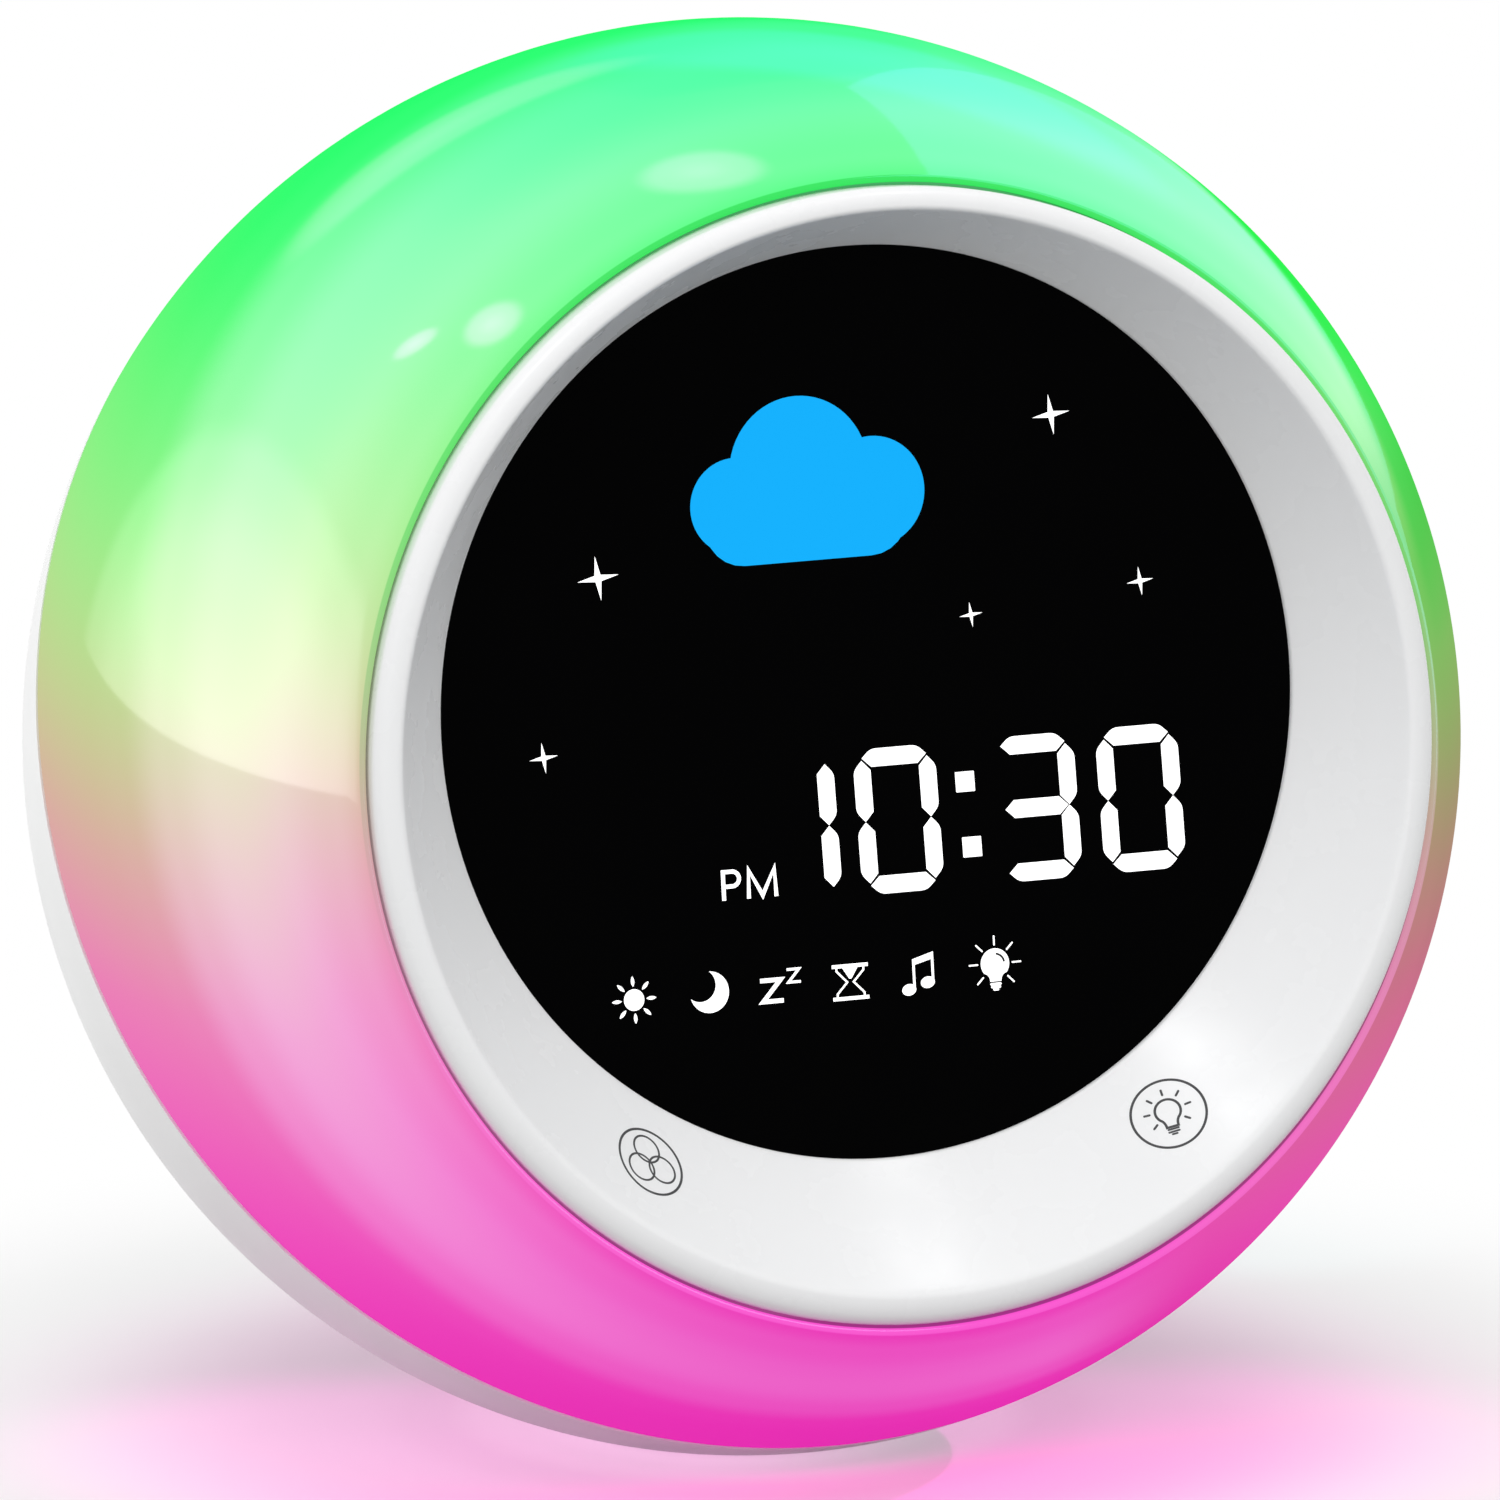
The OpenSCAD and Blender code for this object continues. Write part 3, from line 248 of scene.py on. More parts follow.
class Nodes:
    """The node tree of a material, a lamp or the world, with short ways to add and join nodes."""

    def __init__(self, owner):
        owner.use_nodes = True
        self.tree = owner.node_tree

    def node(self, kind, inputs=None, **settings):
        made = self.tree.nodes.new(kind)
        for key, value in settings.items():
            setattr(made, key, value)
        for key, value in (inputs or {}).items():
            self.put(made.inputs[key], value)
        return made

    def put(self, target, value):
        if isinstance(value, bpy.types.NodeSocket):
            self.tree.links.new(value, target)
        else:
            target.default_value = value

    def math(self, operation, a, b=0.0, clamp=False):
        return self.node("ShaderNodeMath", {0: a, 1: b}, operation=operation, use_clamp=clamp).outputs[0]

    def ramp(self, factor, stops, interpolation="LINEAR"):
        """Colours or greys by a factor. Stops are (position, colour) pairs."""
        made = self.node("ShaderNodeValToRGB", {0: factor})
        ramp = made.color_ramp
        ramp.interpolation = interpolation
        while len(ramp.elements) < len(stops):
            ramp.elements.new(0.5)
        for element, (position, value) in zip(ramp.elements, stops):
            element.position = position
            element.color = value if isinstance(value, tuple) else (value, value, value, 1)
        return made.outputs["Color"]

    def shown(self):
        """1 for what the camera sees, straight, in gloss or through glass, and 0 for other light."""
        path = self.node("ShaderNodeLightPath")
        camera, gloss, glass = (path.outputs[f"Is {ray} Ray"] for ray in ("Camera", "Glossy", "Transmission"))
        return self.math("MAXIMUM", self.math("MAXIMUM", camera, gloss), glass)


class Shading(Nodes):
    """A material, with ways to set its principled shader."""

    def __init__(self, name):
        self.material = bpy.data.materials.new(name)
        super().__init__(self.material)
        self.shader = self.tree.nodes["Principled BSDF"]

    def set(self, **values):
        for key, value in values.items():
            self.put(self.shader.inputs[key.replace("_", " ")], value)

    def dot(self, vector, direction):
        made = self.node("ShaderNodeVectorMath", {0: vector, 1: direction}, operation="DOT_PRODUCT")
        return made.outputs["Value"]

    def mix(self, factor, a, b, blend_type="MIX"):
        colours = {0: factor, 6: a, 7: b}
        return self.node("ShaderNodeMix", colours, data_type="RGBA", blend_type=blend_type).outputs[2]

    def tint(self, factor, a, b):
        """Multiplies colour a by b, as far as factor says."""
        return self.mix(factor, a, b, "MULTIPLY")

    def place(self):
        return self.node("ShaderNodeTexCoord").outputs["Object"]

    def mark(self, name):
        """How far a point bears one of the mesh's marks."""
        return self.node("ShaderNodeAttribute", attribute_name=name).outputs["Fac"]

    def noise(self, scale, detail=2.0, roughness=0.5):
        inputs = {"Vector": self.place(), "Scale": scale, "Detail": detail, "Roughness": roughness}
        return self.node("ShaderNodeTexNoise", inputs).outputs["Fac"]

    def bump(self, height, depth):
        """Bump from a height, with its depth in millimetres."""
        made = self.node("ShaderNodeBump", {"Height": height, "Strength": 1, "Distance": depth * MM})
        self.set(Normal=made.outputs["Normal"])

    def blend(self, factor, other):
        """Mixes another shader node over the principled one, as far as factor says."""
        shaders = {0: factor, 1: self.shader.outputs[0], 2: other.outputs[0]}
        mixed = self.node("ShaderNodeMixShader", shaders).outputs[0]
        self.put(self.tree.nodes["Material Output"].inputs["Surface"], mixed)


def srgb(r, g, b):
    """A colour given as 0 to 255 display values."""
    def linear(v):
        v /= 255
        return v / 12.92 if v <= 0.04045 else ((v + 0.055) / 1.055) ** 2.4
    return (linear(r), linear(g), linear(b), 1)


def scaled(colour, by):
    """A colour that is by times as bright."""
    return tuple(c * by for c in colour[:3]) + (1,)


def plastic(name, rgb, roughness=0.3, grain=0.0, grain_scale=900, mottle=0.02, **more):
    """Moulded plastic: faint mottling, and a fine grain where the mould was textured."""
    s = Shading(name)
    colour = srgb(*rgb)
    s.set(Base_Color=s.mix(s.noise(60, 3), scaled(colour, 1 - mottle), colour))
    s.set(Roughness=s.ramp(s.noise(140, 4), [(0.3, roughness * 0.85), (0.7, roughness * 1.15)]), **more)
    if grain:
        s.bump(s.noise(grain_scale, 2), grain)
    return s.material


# ---- Diffuser ----

MOUTH_ROUND = 0.45
SEAM_ROUND = 0.3
LIP_STEPS = 8
EDGE_STEPS = 4
OUTER_STEPS = 40
INNER_STEPS = 12
LIP_RINGS = (2, 10)
GAP_RINGS = (0, 3)
LEAN_BETWEEN = radians(SEAM_LEAN - FACE_LEAN)


def parting_point(turn, r, level):
    """Where the circle of radius r at this turn about the face's axis meets the parting plane.

    The result is (radius, height) in the face's frame, for a plane at this level.
    """
    along, out = sin(turn) * sin(LEAN_BETWEEN), cos(LEAN_BETWEEN)
    polar = atan2(along, out) + acos(level / (r * hypot(along, out)))
    return r * sin(polar), r * cos(polar)


def sphere_points(r, start, end, steps):
    """Points along a sphere from one (radius, height) to another, without the two ends."""
    a, b = atan2(start[0], start[1]), atan2(end[0], end[1])
    angles = [a + (b - a) * i / steps for i in range(1, steps)]
    return [(r * sin(t), r * cos(t)) for t in angles]


def diffuser_profile(turn):
    """Outline of the diffuser's wall at one turn about the face's axis."""
    inner_r = BALL_R - DIFFUSER_WALL
    mouth_r = RIM_UP * sin(turn) + sqrt(MOUTH_R ** 2 - (RIM_UP * cos(turn)) ** 2)
    lip_r = mouth_r + MOUTH_ROUND
    lip_z = sqrt((BALL_R - MOUTH_ROUND) ** 2 - lip_r ** 2)
    outside = degrees(atan2(lip_z, lip_r))
    lip = arc(lip_r, lip_z, MOUTH_ROUND, 180, outside, LIP_STEPS)
    level = SEAM_GAP / 2 - SEAM_BACK
    edge = [parting_point(turn, BALL_R - SEAM_ROUND + x, level + SEAM_ROUND - y)
            for x, y in arc(0, 0, SEAM_ROUND, 0, 90, EDGE_STEPS)]
    within = parting_point(turn, inner_r, level)
    shelf_z = REBATE_D - REBATE_T
    shelf = (sqrt(inner_r ** 2 - shelf_z ** 2), shelf_z)
    return (
        [(REBATE_R, REBATE_D), (mouth_r, REBATE_D)] + lip
        + sphere_points(BALL_R, lip[-1], edge[0], OUTER_STEPS) + edge + [within]
        + sphere_points(inner_r, within, shelf, INNER_STEPS) + [shelf, (REBATE_R, shelf_z)]
    )


def make_diffuser():
    profiles = [diffuser_profile(turn) for turn in TURNS]
    rings = [[(r * cos(t), r * sin(t), z) for (r, z), t in zip(ring, TURNS)] for ring in zip(*profiles)]
    piece = new_object("glowing_diffuser", *ring_skin(rings), FACE)
    # Marks for the material: the lip, which gets a painted highlight, and the gap by the bezel, which gets
    # painted shade
    for name, (first, end) in (("lip", LIP_RINGS), ("gap", GAP_RINGS)):
        marks = piece.data.attributes.new(name, "FLOAT", "POINT")
        for vertex in range(first * AROUND, end * AROUND):
            marks.data[vertex].value = 1
    return piece


# ---- Bezel. Its circles are given as (radius, how far the centre is up, height) ----

CREST_BLEND = 0.12
CREST_PEAK = 0.05
EDGE_BLEND = 0.3
EDGE_DROP = 0.6
FOOT_BLEND = 0.25
COLLAR_R = 50.75
COLLAR_BACK = 26.5
COLLAR_TOP = 34
SKIRT_R = 56.8
SKIRT_TOP = 38
EDGE_RING = Vector((BEZEL_R, RIM_UP, RIM_D))
CREST_RING = Vector((CREST_R, CREST_UP, CREST_D))
LIP_RING = Vector((LIP_R, CREST_UP, CREST_D))
FOOT_RING = Vector((DISPLAY_R, DISPLAY_UP, LAND_D))


def slope_ring(share):
    """The slope's circle at a share of the way from the display to the crest."""
    return FOOT_RING.lerp(LIP_RING, share)


def band_ring(share):
    """The rim's circle at a share of the way from its outer edge to the crest, with a slight bulge."""
    steep = atan2(CREST_RISE, RIM_W)
    bulge = 4 * share * (1 - share) * BAND_BULGE
    return EDGE_RING.lerp(CREST_RING, share) + Vector((sin(steep), 0, cos(steep))) * bulge


def bezel_rings():
    peak = Vector((CREST_R - CREST_FLAT / 2, CREST_UP, CREST_D + CREST_PEAK))
    rings = [(BEZEL_R, RIM_UP, REBATE_D + SEAT_GAP), EDGE_RING - UP * (EDGE_DROP + 0.1)]
    rings += blend_corner(EDGE_RING - UP * EDGE_DROP, EDGE_RING, band_ring(EDGE_BLEND), 6)
    rings += [band_ring(share) for share in (0.4, 0.5, 0.6, 0.7, 0.8)]
    rings += blend_corner(band_ring(1 - CREST_BLEND), peak, slope_ring(0.965), 8)
    rings += [slope_ring(share) for share in (0.93, 0.8, 0.65, 0.5, 0.35, 0.2, 0.08)]
    rings += blend_corner(slope_ring(0.02), FOOT_RING, FOOT_RING - UP * FOOT_BLEND, 4)
    rings += [
        (DISPLAY_R, DISPLAY_UP, DISPLAY_D), (LENS_R + SEAT_GAP, LENS_UP, DISPLAY_D),
        (LENS_R + SEAT_GAP, LENS_UP, COLLAR_BACK), (COLLAR_R, LENS_UP - SEAT_GAP, COLLAR_BACK),
        (COLLAR_R, LENS_UP - SEAT_GAP, COLLAR_TOP), (SKIRT_R, 0, SKIRT_TOP),
        (SKIRT_R, 0, REBATE_D + SEAT_GAP)]
    return rings


def make_bezel():
    rings = [[(r * cos(t), up + r * sin(t), z) for t in TURNS] for r, up, z in bezel_rings()]
    return new_object("bezel_ring", *ring_skin(rings), FACE)


# ---- Rear housing ----

PANEL_ROUND = 2.2
HOLE_EDGE = 0.3
SPHERE_STEPS = 72
SPHERE_END = radians(150)
KEY_RING_R = 26
KEY_R = 4.5
KEY_GAP = 0.2
KEY_PROUD = 1.4
KEY_COLLAR = 1.1
KEY_COLLAR_T = 1.2
KEY_POST = (2, 1)
KEY_ROUND = 0.7
KEY_DISH = 0.3
KEY_DISH_R = 3.1
KEY_STEP = 36
KEYS = ("light", "sound", "down", "up", "set", "alarm")
KNOB_PLACE = (-13, -22.6)
USB_PLACE = (13, -22.6)
KNOB_SIZE = (4, 2.6)
KNOB_TRAVEL = 2
KNOB_DEPTH = 1.2
KNOB_SUNK = 0.2
KNOB_ROOM = (5, 3)
KNOB_CORNER = 0.4
USB_SIZE = (8.9, 3.2)
USB_ROOM = 4
USB_DEPTH = 0.6
RECESS_SOFT = 0.3
CUT_DEPTH = 3
GRILLE_RINGS = 3
GRILLE_PITCH = 3.4
GRILLE_HOLE_R = 0.85
GRILLE_EDGE = 0.25
WELL_R = 3.3
WELL_WALL = 1.2
WELL_RING_R = 54.78
WELL_ANGLES = (27, 153, -41, -139)
WELL_TOP = -9.6
WELL_FLOOR = 6
SCREW_HOLE_R = 1.7
WELL_DEPTH = 90
POST_DEPTH = 80
SCREW_DEPTH = 30
ON_BALL = 0.02
ALONG_BALL = 0.99
ALONG_PANEL = 0.9999


def panel_corner(inset):
    """Soft corner between the flat panel and the ball, for a wall drawn in by inset."""
    r = BALL_R - inset
    flat = PANEL_W - inset
    corner = sqrt(r ** 2 - flat ** 2)
    polar = atan2(corner, flat) + PANEL_ROUND / r
    return blend_corner((corner - PANEL_ROUND, flat), (corner, flat), (r * sin(polar), r * cos(polar)), 8)


def housing_solid(name, inset, mouth, floor):
    """The ball behind the parting plane at mouth, with its panel and its flat foot."""
    r = BALL_R - inset
    corner = [tuple(p) for p in panel_corner(inset)]
    under = (r * sin(SPHERE_END), r * cos(SPHERE_END))
    profile = [(0, corner[0][1])] + corner + sphere_points(r, corner[-1], under, SPHERE_STEPS)
    profile += [under, (0, under[1])]
    piece = new_object(name, *turned(profile[::-1]), REAR)
    slice_off(piece, SEAM @ (UP * mouth), SEAM_OUT)
    slice_off(piece, UP * floor, -UP)
    return piece


def slice_off(piece, place, normal):
    """Cuts a piece by a plane and closes it. What lies on the normal's side goes."""
    bm = bmesh.new()
    bm.from_mesh(piece.data)
    everything = bm.verts[:] + bm.edges[:] + bm.faces[:]
    bmesh.ops.bisect_plane(bm, geom=everything, plane_co=place * MM, plane_no=normal, clear_outer=True)
    bmesh.ops.edgeloop_fill(bm, edges=[e for e in bm.edges if e.is_boundary])
    bm.to_mesh(piece.data)
    bm.free()


def round_cutter(r, top, bottom, edge=HOLE_EDGE, around=48):
    """A round cutter from bottom up past top, with a soft edge at top."""
    flare = arc(r + edge, top - edge, edge, 180, 90, 4)
    return turned([(0, bottom), (r, bottom)] + flare + [(r + edge, top + 1), (0, top + 1)], around)


def slot_outline(w, h, corner_steps=10):
    """Outline of a slot with round ends."""
    r = h / 2
    side = (w - h) / 2
    return arc(side, 0, r, -90, 90, corner_steps) + arc(-side, 0, r, 90, 270, corner_steps)


def box_outline(w, h, r, corner_steps=4):
    """Outline of a rectangle with round corners."""
    x, y = w / 2 - r, h / 2 - r
    corners = ((x, y, 0), (-x, y, 90), (-x, -y, 180), (x, -y, 270))
    return [p for cx, cy, start in corners for p in arc(cx, cy, r, start, start + 90, corner_steps)]


def recess(w, h, depth):
    """A cutter for a shallow recess with a soft edge and a soft floor."""
    turns = [radians(30 * i) for i in range(4)]
    bends = [(-RECESS_SOFT * (1 - sin(a)), RECESS_SOFT * (1 - cos(a)) - depth) for a in turns]
    bends += [(RECESS_SOFT * (1 - cos(a)), RECESS_SOFT * (sin(a) - 1)) for a in turns] + [(RECESS_SOFT, 1)]
    return stack([(slot_outline(w + 2 * wider, h + 2 * wider), PANEL_W + up) for wider, up in bends])


def key_frame(i):
    """Frame of a key on the rear panel, with its up side towards the top of the clock."""
    return REAR @ Matrix.Translation((*spoke(KEY_RING_R, i * KEY_STEP), 0))


def grille_places():
    rings = range(1, GRILLE_RINGS + 1)
    return [(0, 0)] + [spoke(n * GRILLE_PITCH, k * 60 / n) for n in rings for k in range(6 * n)]


def well_places():
    return [spoke(WELL_RING_R, angle) for angle in WELL_ANGLES]


def housing_cutters():
    """What is cut out of the housing: holes, recesses, screw wells and the pad's seat."""
    deep = PANEL_IN - CUT_DEPTH
    gap = 2 * KEY_GAP
    hole = round_cutter(KEY_R + KEY_GAP, PANEL_W, deep)
    cuts = [("key_cut", key_frame(i), hole) for i in range(len(KEYS))]
    hole = round_cutter(GRILLE_HOLE_R, PANEL_W, deep, GRILLE_EDGE, 24)
    cuts += [("grille_cut", REAR, moved(hole, x, y)) for x, y in grille_places()]
    w, h = KNOB_SIZE[0] + KNOB_TRAVEL, KNOB_SIZE[1]
    outline = box_outline(w + gap, h + gap, KNOB_CORNER)
    cuts += [
        ("knob_cut", REAR, moved(prism(outline, deep, PANEL_W), *KNOB_PLACE)),
        ("knob_recess", REAR, moved(recess(w + KNOB_ROOM[0], h + KNOB_ROOM[1], KNOB_DEPTH), *KNOB_PLACE))]
    w, h = USB_SIZE
    outline = slot_outline(w + gap, h + gap)
    cuts += [
        ("usb_cut", REAR, moved(prism(outline, deep, PANEL_W), *USB_PLACE)),
        ("usb_recess", REAR, moved(recess(w + USB_ROOM, h + USB_ROOM, USB_DEPTH), *USB_PLACE))]
    well = round_cutter(WELL_R, WELL_TOP - WELL_FLOOR, -WELL_DEPTH, 0, 40)
    screw = round_cutter(SCREW_HOLE_R, WELL_TOP + 1, -SCREW_DEPTH, 0, 24)
    for place in well_places():
        cuts += [("well_cut", SEAM, moved(well, *place)), ("screw_cut", SEAM, moved(screw, *place))]
    cuts.append(("pad_cut", WORLD, round_cutter(PAD_R + SEAT_GAP, PAD_T + SEAT_GAP, -CUT_DEPTH, 0, 96)))
    return [new_object(name, *solid, matrix) for name, matrix, solid in cuts]


def make_housing():
    shell = housing_solid("rear_shell", 0, -SEAM_BACK - SEAM_GAP / 2, PAD_PROUD)
    hollow = housing_solid("hollow", HOUSING_WALL, 0, PAD_PROUD + FLOOR_WALL)
    boolean(shell, [hollow], "DIFFERENCE")
    core = housing_solid("core", HOUSING_WALL / 2, WELL_TOP, PAD_PROUD + FLOOR_WALL / 2)
    post_r = WELL_R + WELL_WALL
    post = turned([(0, -POST_DEPTH), (post_r, -POST_DEPTH), (post_r, 0), (0, 0)], 40)
    posts = [new_object("post", *moved(post, *place), SEAM) for place in well_places()]
    for post in posts:
        boolean(post, [core.copy()], "INTERSECT")
    bpy.data.objects.remove(core)
    boolean(shell, posts, "UNION")
    boolean(shell, housing_cutters(), "DIFFERENCE")
    soften(shell.data)
    true_normals(shell.data)
    return shell


def true_normals(mesh):
    """Gives faces on the ball or on the rear panel true normals, so that cut faces shade smoothly."""
    centre = CENTRE_POINT * MM
    normals = [Vector(n.vector) for n in mesh.corner_normals]
    for face in mesh.polygons:
        outs = [mesh.vertices[v].co - centre for v in face.vertices]
        on_ball = all(abs(out.length - BALL_R * MM) < ON_BALL * MM for out in outs)
        if face.normal.dot(REAR_OUT) > ALONG_PANEL:
            outs = [REAR_OUT] * len(outs)
        elif not on_ball or face.normal.dot((face.center - centre).normalized()) <= ALONG_BALL:
            continue
        for loop, out in zip(face.loop_indices, outs):
            normals[loop] = out.normalized()
    mesh.normals_split_custom_set([tuple(n) for n in normals])


# ---- Keys ----

KEY_TOP = PANEL_W + KEY_PROUD
KEY_FLOOR = KEY_TOP - KEY_DISH
KEY_DISH_BLEND = 0.35


def make_key(name, i):
    """A round key with a soft edge and a dished top, with its collar behind the panel."""
    top = PANEL_IN - SEAT_GAP
    back = top - KEY_COLLAR_T
    post_r, post_l = KEY_POST
    collar_r = KEY_R + KEY_GAP + KEY_COLLAR
    edge = arc(KEY_R - KEY_ROUND, KEY_TOP - KEY_ROUND, KEY_ROUND, 0, 90, 8)
    dish = blend_corner(edge[-1], (KEY_DISH_R + KEY_DISH_BLEND, KEY_FLOOR), (KEY_DISH_R, KEY_FLOOR), 6)
    profile = [(0, back - post_l), (post_r, back - post_l), (post_r, back), (collar_r, back), (collar_r, top),
               (KEY_R, top)]
    profile += edge + [tuple(p) for p in dish[1:]] + [(0, KEY_FLOOR)]
    return new_object(name, *turned(profile, 72), key_frame(i))


# ---- Thin plates: symbols on the display and printed marks ----

PLATE_SUNK = 0.01
PLATE_PROUD = 0.03
SHARPEST_MITRE = 0.4


def plate(points, faces):
    """Points and faces of a thin solid over flat faces that run anticlockwise."""
    count = len(points)
    solid = [(x, y, z) for z in (-PLATE_SUNK, PLATE_PROUD) for x, y in points]
    edges = {(f[i - 1], f[i]) for f in faces for i in range(len(f))}
    skin = [tuple(reversed(f)) for f in faces] + [tuple(k + count for k in f) for f in faces]
    skin += [(a, b, b + count, a + count) for a, b in sorted(edges) if (b, a) not in edges]
    return solid, skin


def area(outline):
    return sum(a[0] * b[1] - b[0] * a[1] for a, b in zip(outline, outline[1:] + outline[:1])) / 2


def blob(outline):
    """A plate over one outline."""
    if area(outline) < 0:
        outline = outline[::-1]
    return plate(outline, [tuple(range(len(outline)))])


def disc(x, y, r, steps=48):
    return blob(arc(x, y, r, 0, 360, steps)[:-1])


def stroke(path, width, closed=False, round_ends=True):
    """A plate along a path, with mitred bends and round or square ends."""
    count = len(path)
    half = width / 2
    left, right = [], []
    for i, (x, y) in enumerate(path):
        before = path[i - 1] if closed or i else path[i]
        after = path[(i + 1) % count] if closed or i < count - 1 else path[i]
        a = Vector((x - before[0], y - before[1]))
        b = Vector((after[0] - x, after[1] - y))
        a = a.normalized() if a.length else b.normalized()
        b = b.normalized() if b.length else a
        mid = (a + b).normalized()
        reach = half / max(mid.dot(a), SHARPEST_MITRE)
        left.append((x - mid.y * reach, y + mid.x * reach))
        right.append((x + mid.y * reach, y - mid.x * reach))
    points = left + right
    spans = [(i, (i + 1) % count) for i in range(count if closed else count - 1)]
    faces = [(a, count + a, count + b, b) for a, b in spans]
    if round_ends and not closed:
        for end, towards in ((0, 1), (count - 1, count - 2)):
            x, y = path[end]
            out = degrees(atan2(y - path[towards][1], x - path[towards][0]))
            cap = arc(x, y, half, out - 90, out + 90, 6)[1:-1]
            first = len(points)
            points += cap
            start, stop = (end, count + end) if end == 0 else (count + end, end)
            faces.append((start, *range(first, first + len(cap)), stop))
    return plate(points, faces)


def ring(x, y, r, width, steps=48):
    return stroke(arc(x, y, r, 0, 360, steps)[:-1], width, closed=True)


def level_bars(lines, width):
    """Level strokes with round ends about the middle, given as (half length, height)."""
    return [stroke([(-w, y), (w, y)], width) for w, y in lines]


def plates_object(name, plates, matrix, merge=False):
    """One object from several plates. Those that overlap are merged into one solid."""
    if merge:
        parts = [new_object(name, points, faces) for points, faces in plates]
        first = parts[0]
        if parts[1:]:
            boolean(first, parts[1:], "UNION")
        first.data.transform(Matrix.Scale(MM, 4) @ matrix @ Matrix.Scale(1 / MM, 4))
        soften(first.data)
        return first
    points, faces = [], []
    for solid, skin in plates:
        faces += [tuple(k + len(points) for k in f) for f in skin]
        points += solid
    return new_object(name, points, faces, matrix)


# Digits: seven-segment strokes in a box whose top left corner is its origin
DIGIT_W = 9.15
DIGIT_H = 15.1
SEGMENT_W = 1.88
SEGMENT_GAP = 0.12
SHOULDER = 1.0
DIGIT_TOP = 1.05
DIGIT_LEFTS = (-13.1, -1.75, 13.7, 25.3)
DIGITS_LEAN = 0.026
SEGMENTS = {"0": "abcdef", "1": "bc", "3": "abcdg"}


def segment(start, end, outer):
    """A bar with pointed ends. Its shoulders on the outer side (1 is left of its run) are rounded."""
    a, b = Vector(start), Vector(end)
    run = (b - a).normalized()
    side = Vector((-run.y, run.x)) * SEGMENT_W / 2
    outline = []
    for way in (1, -1):
        tip, far = (a, b) if way == 1 else (b, a)
        near = tip + way * run * SHOULDER + way * side
        beyond = far - way * run * SHOULDER + way * side
        if outer == way:
            outline += [tip] + blend_corner(tip.lerp(near, 0.55), near, near.lerp(beyond, 0.12), 4)
            outline += blend_corner(beyond.lerp(near, 0.12), beyond, far.lerp(beyond, 0.55), 4)
        else:
            outline += [tip, near, beyond]
    return blob([(p.x, p.y) for p in outline])


def digit(character, left):
    t, w, h = SEGMENT_W / 2, DIGIT_W, DIGIT_H
    g = SEGMENT_GAP
    bars = {
        "a": ((t + g / 2, -t), (w - t - g / 2, -t), 1),
        "b": ((w - t, -t - 2 * g), (w - t, g / 4 - h / 2), 1),
        "c": ((w - t, -g / 4 - h / 2), (w - t, t + 2 * g - h), 1),
        "d": ((t + g / 2, t - h), (w - t - g / 2, t - h), -1),
        "e": ((t, -g / 4 - h / 2), (t, t + 2 * g - h), -1),
        "f": ((t, -t - 2 * g), (t, g / 4 - h / 2), -1),
        "g": ((t + g, -h / 2), (w - t - g, -h / 2), 0),
    }
    return [moved(segment(*bars[name]), left, DIGIT_TOP) for name in SEGMENTS[character]]


COLON_W = 2.1
COLON_PLACES = ((10.5, -3.2), (10.75, -10))
TIME = "1030"


def make_digits():
    plates = [bar for character, left in zip(TIME, DIGIT_LEFTS) for bar in digit(character, left)]
    plates += [moved(blob(box_outline(COLON_W, COLON_W, 0.05, 1)), x, y) for x, y in COLON_PLACES]
    return [([(x - DIGITS_LEAN * (y + DIGIT_H / 2), y, z) for x, y, z in points], faces)
            for points, faces in plates]


LETTER_H = 3.15
LETTER_W = 0.43
LETTERS_BASE = -13.3
LETTER_LEFTS = (-16.95, -14.2)


def make_marker():
    """The letters PM, as strokes."""
    h, w = LETTER_H, LETTER_W
    bowl = [(0, h - w / 2), (1.0, h - w / 2)] + arc(1.0, h * 0.69, h * 0.31 - w / 2, 90, -90, 10)
    bowl.append((0, h * 0.38 + w / 2))
    m = [(0, 0), (0.1, h - w / 2), (1.55, w / 2), (2.95, h - w / 2), (3.05, 0)]
    paths = (([(0, 0), (0, h)], 0), (bowl, 0), (m, 1))
    return [moved(stroke(path, w, round_ends=False), LETTER_LEFTS[i], LETTERS_BASE) for path, i in paths]


def crescent(r, cut_r, shift, turn):
    """Outline of a crescent: a disc less another that is shifted towards turn degrees."""
    cross = (r * r - cut_r * cut_r + shift * shift) / (2 * shift)
    horn = degrees(acos(cross / r))
    inner = degrees(acos((cross - shift) / cut_r))
    outline = arc(0, 0, r, turn + horn, turn + 360 - horn, 40)
    return outline + arc(*spoke(shift, turn), cut_r, turn - inner, turn - 360 + inner, 40)[1:-1]


def spindle(start, end, width):
    """Outline of a ray with soft pointed ends, along +X."""
    mid = (start + end) / 2
    half = (end - start) / 2
    return [(mid - half * x, width / 2 * y * (0.55 + 0.45 * y * y)) for x, y in arc(0, 0, 1, 0, 342, 19)]


def sun_icon():
    rays = [moved(blob(spindle(1.38, 2.45, 0.38)), turn=k * 45 + 2) for k in range(8)]
    return [disc(0, 0, 1.12)] + rays


def letter_z(w, h, thick):
    path = [(0, h - thick / 2), (w - thick / 2, h - thick / 2), (thick / 2, thick / 2), (w, thick / 2)]
    return stroke(path, thick, round_ends=False)


def hourglass_icon():
    w, h, cap, line = 4.0, 3.75, 0.38, 0.2
    y = h / 2
    side = [(1.5, y), (1.5, y - 0.7), (0.35, 0), (1.5, 0.7 - y), (1.5, -y)]
    glass = [stroke([(s * a, b) for a, b in side], line, round_ends=False) for s in (-1, 1)]
    caps = [blob([(-w / 2, s * y), (w / 2, s * y), (w / 2, s * (y - cap)), (-w / 2, s * (y - cap))])
            for s in (1, -1)]
    sand = blob([(-0.85, y - cap), (0.85, y - cap), (0.12, 0.35), (-0.12, 0.35)])
    return glass + caps + [sand]


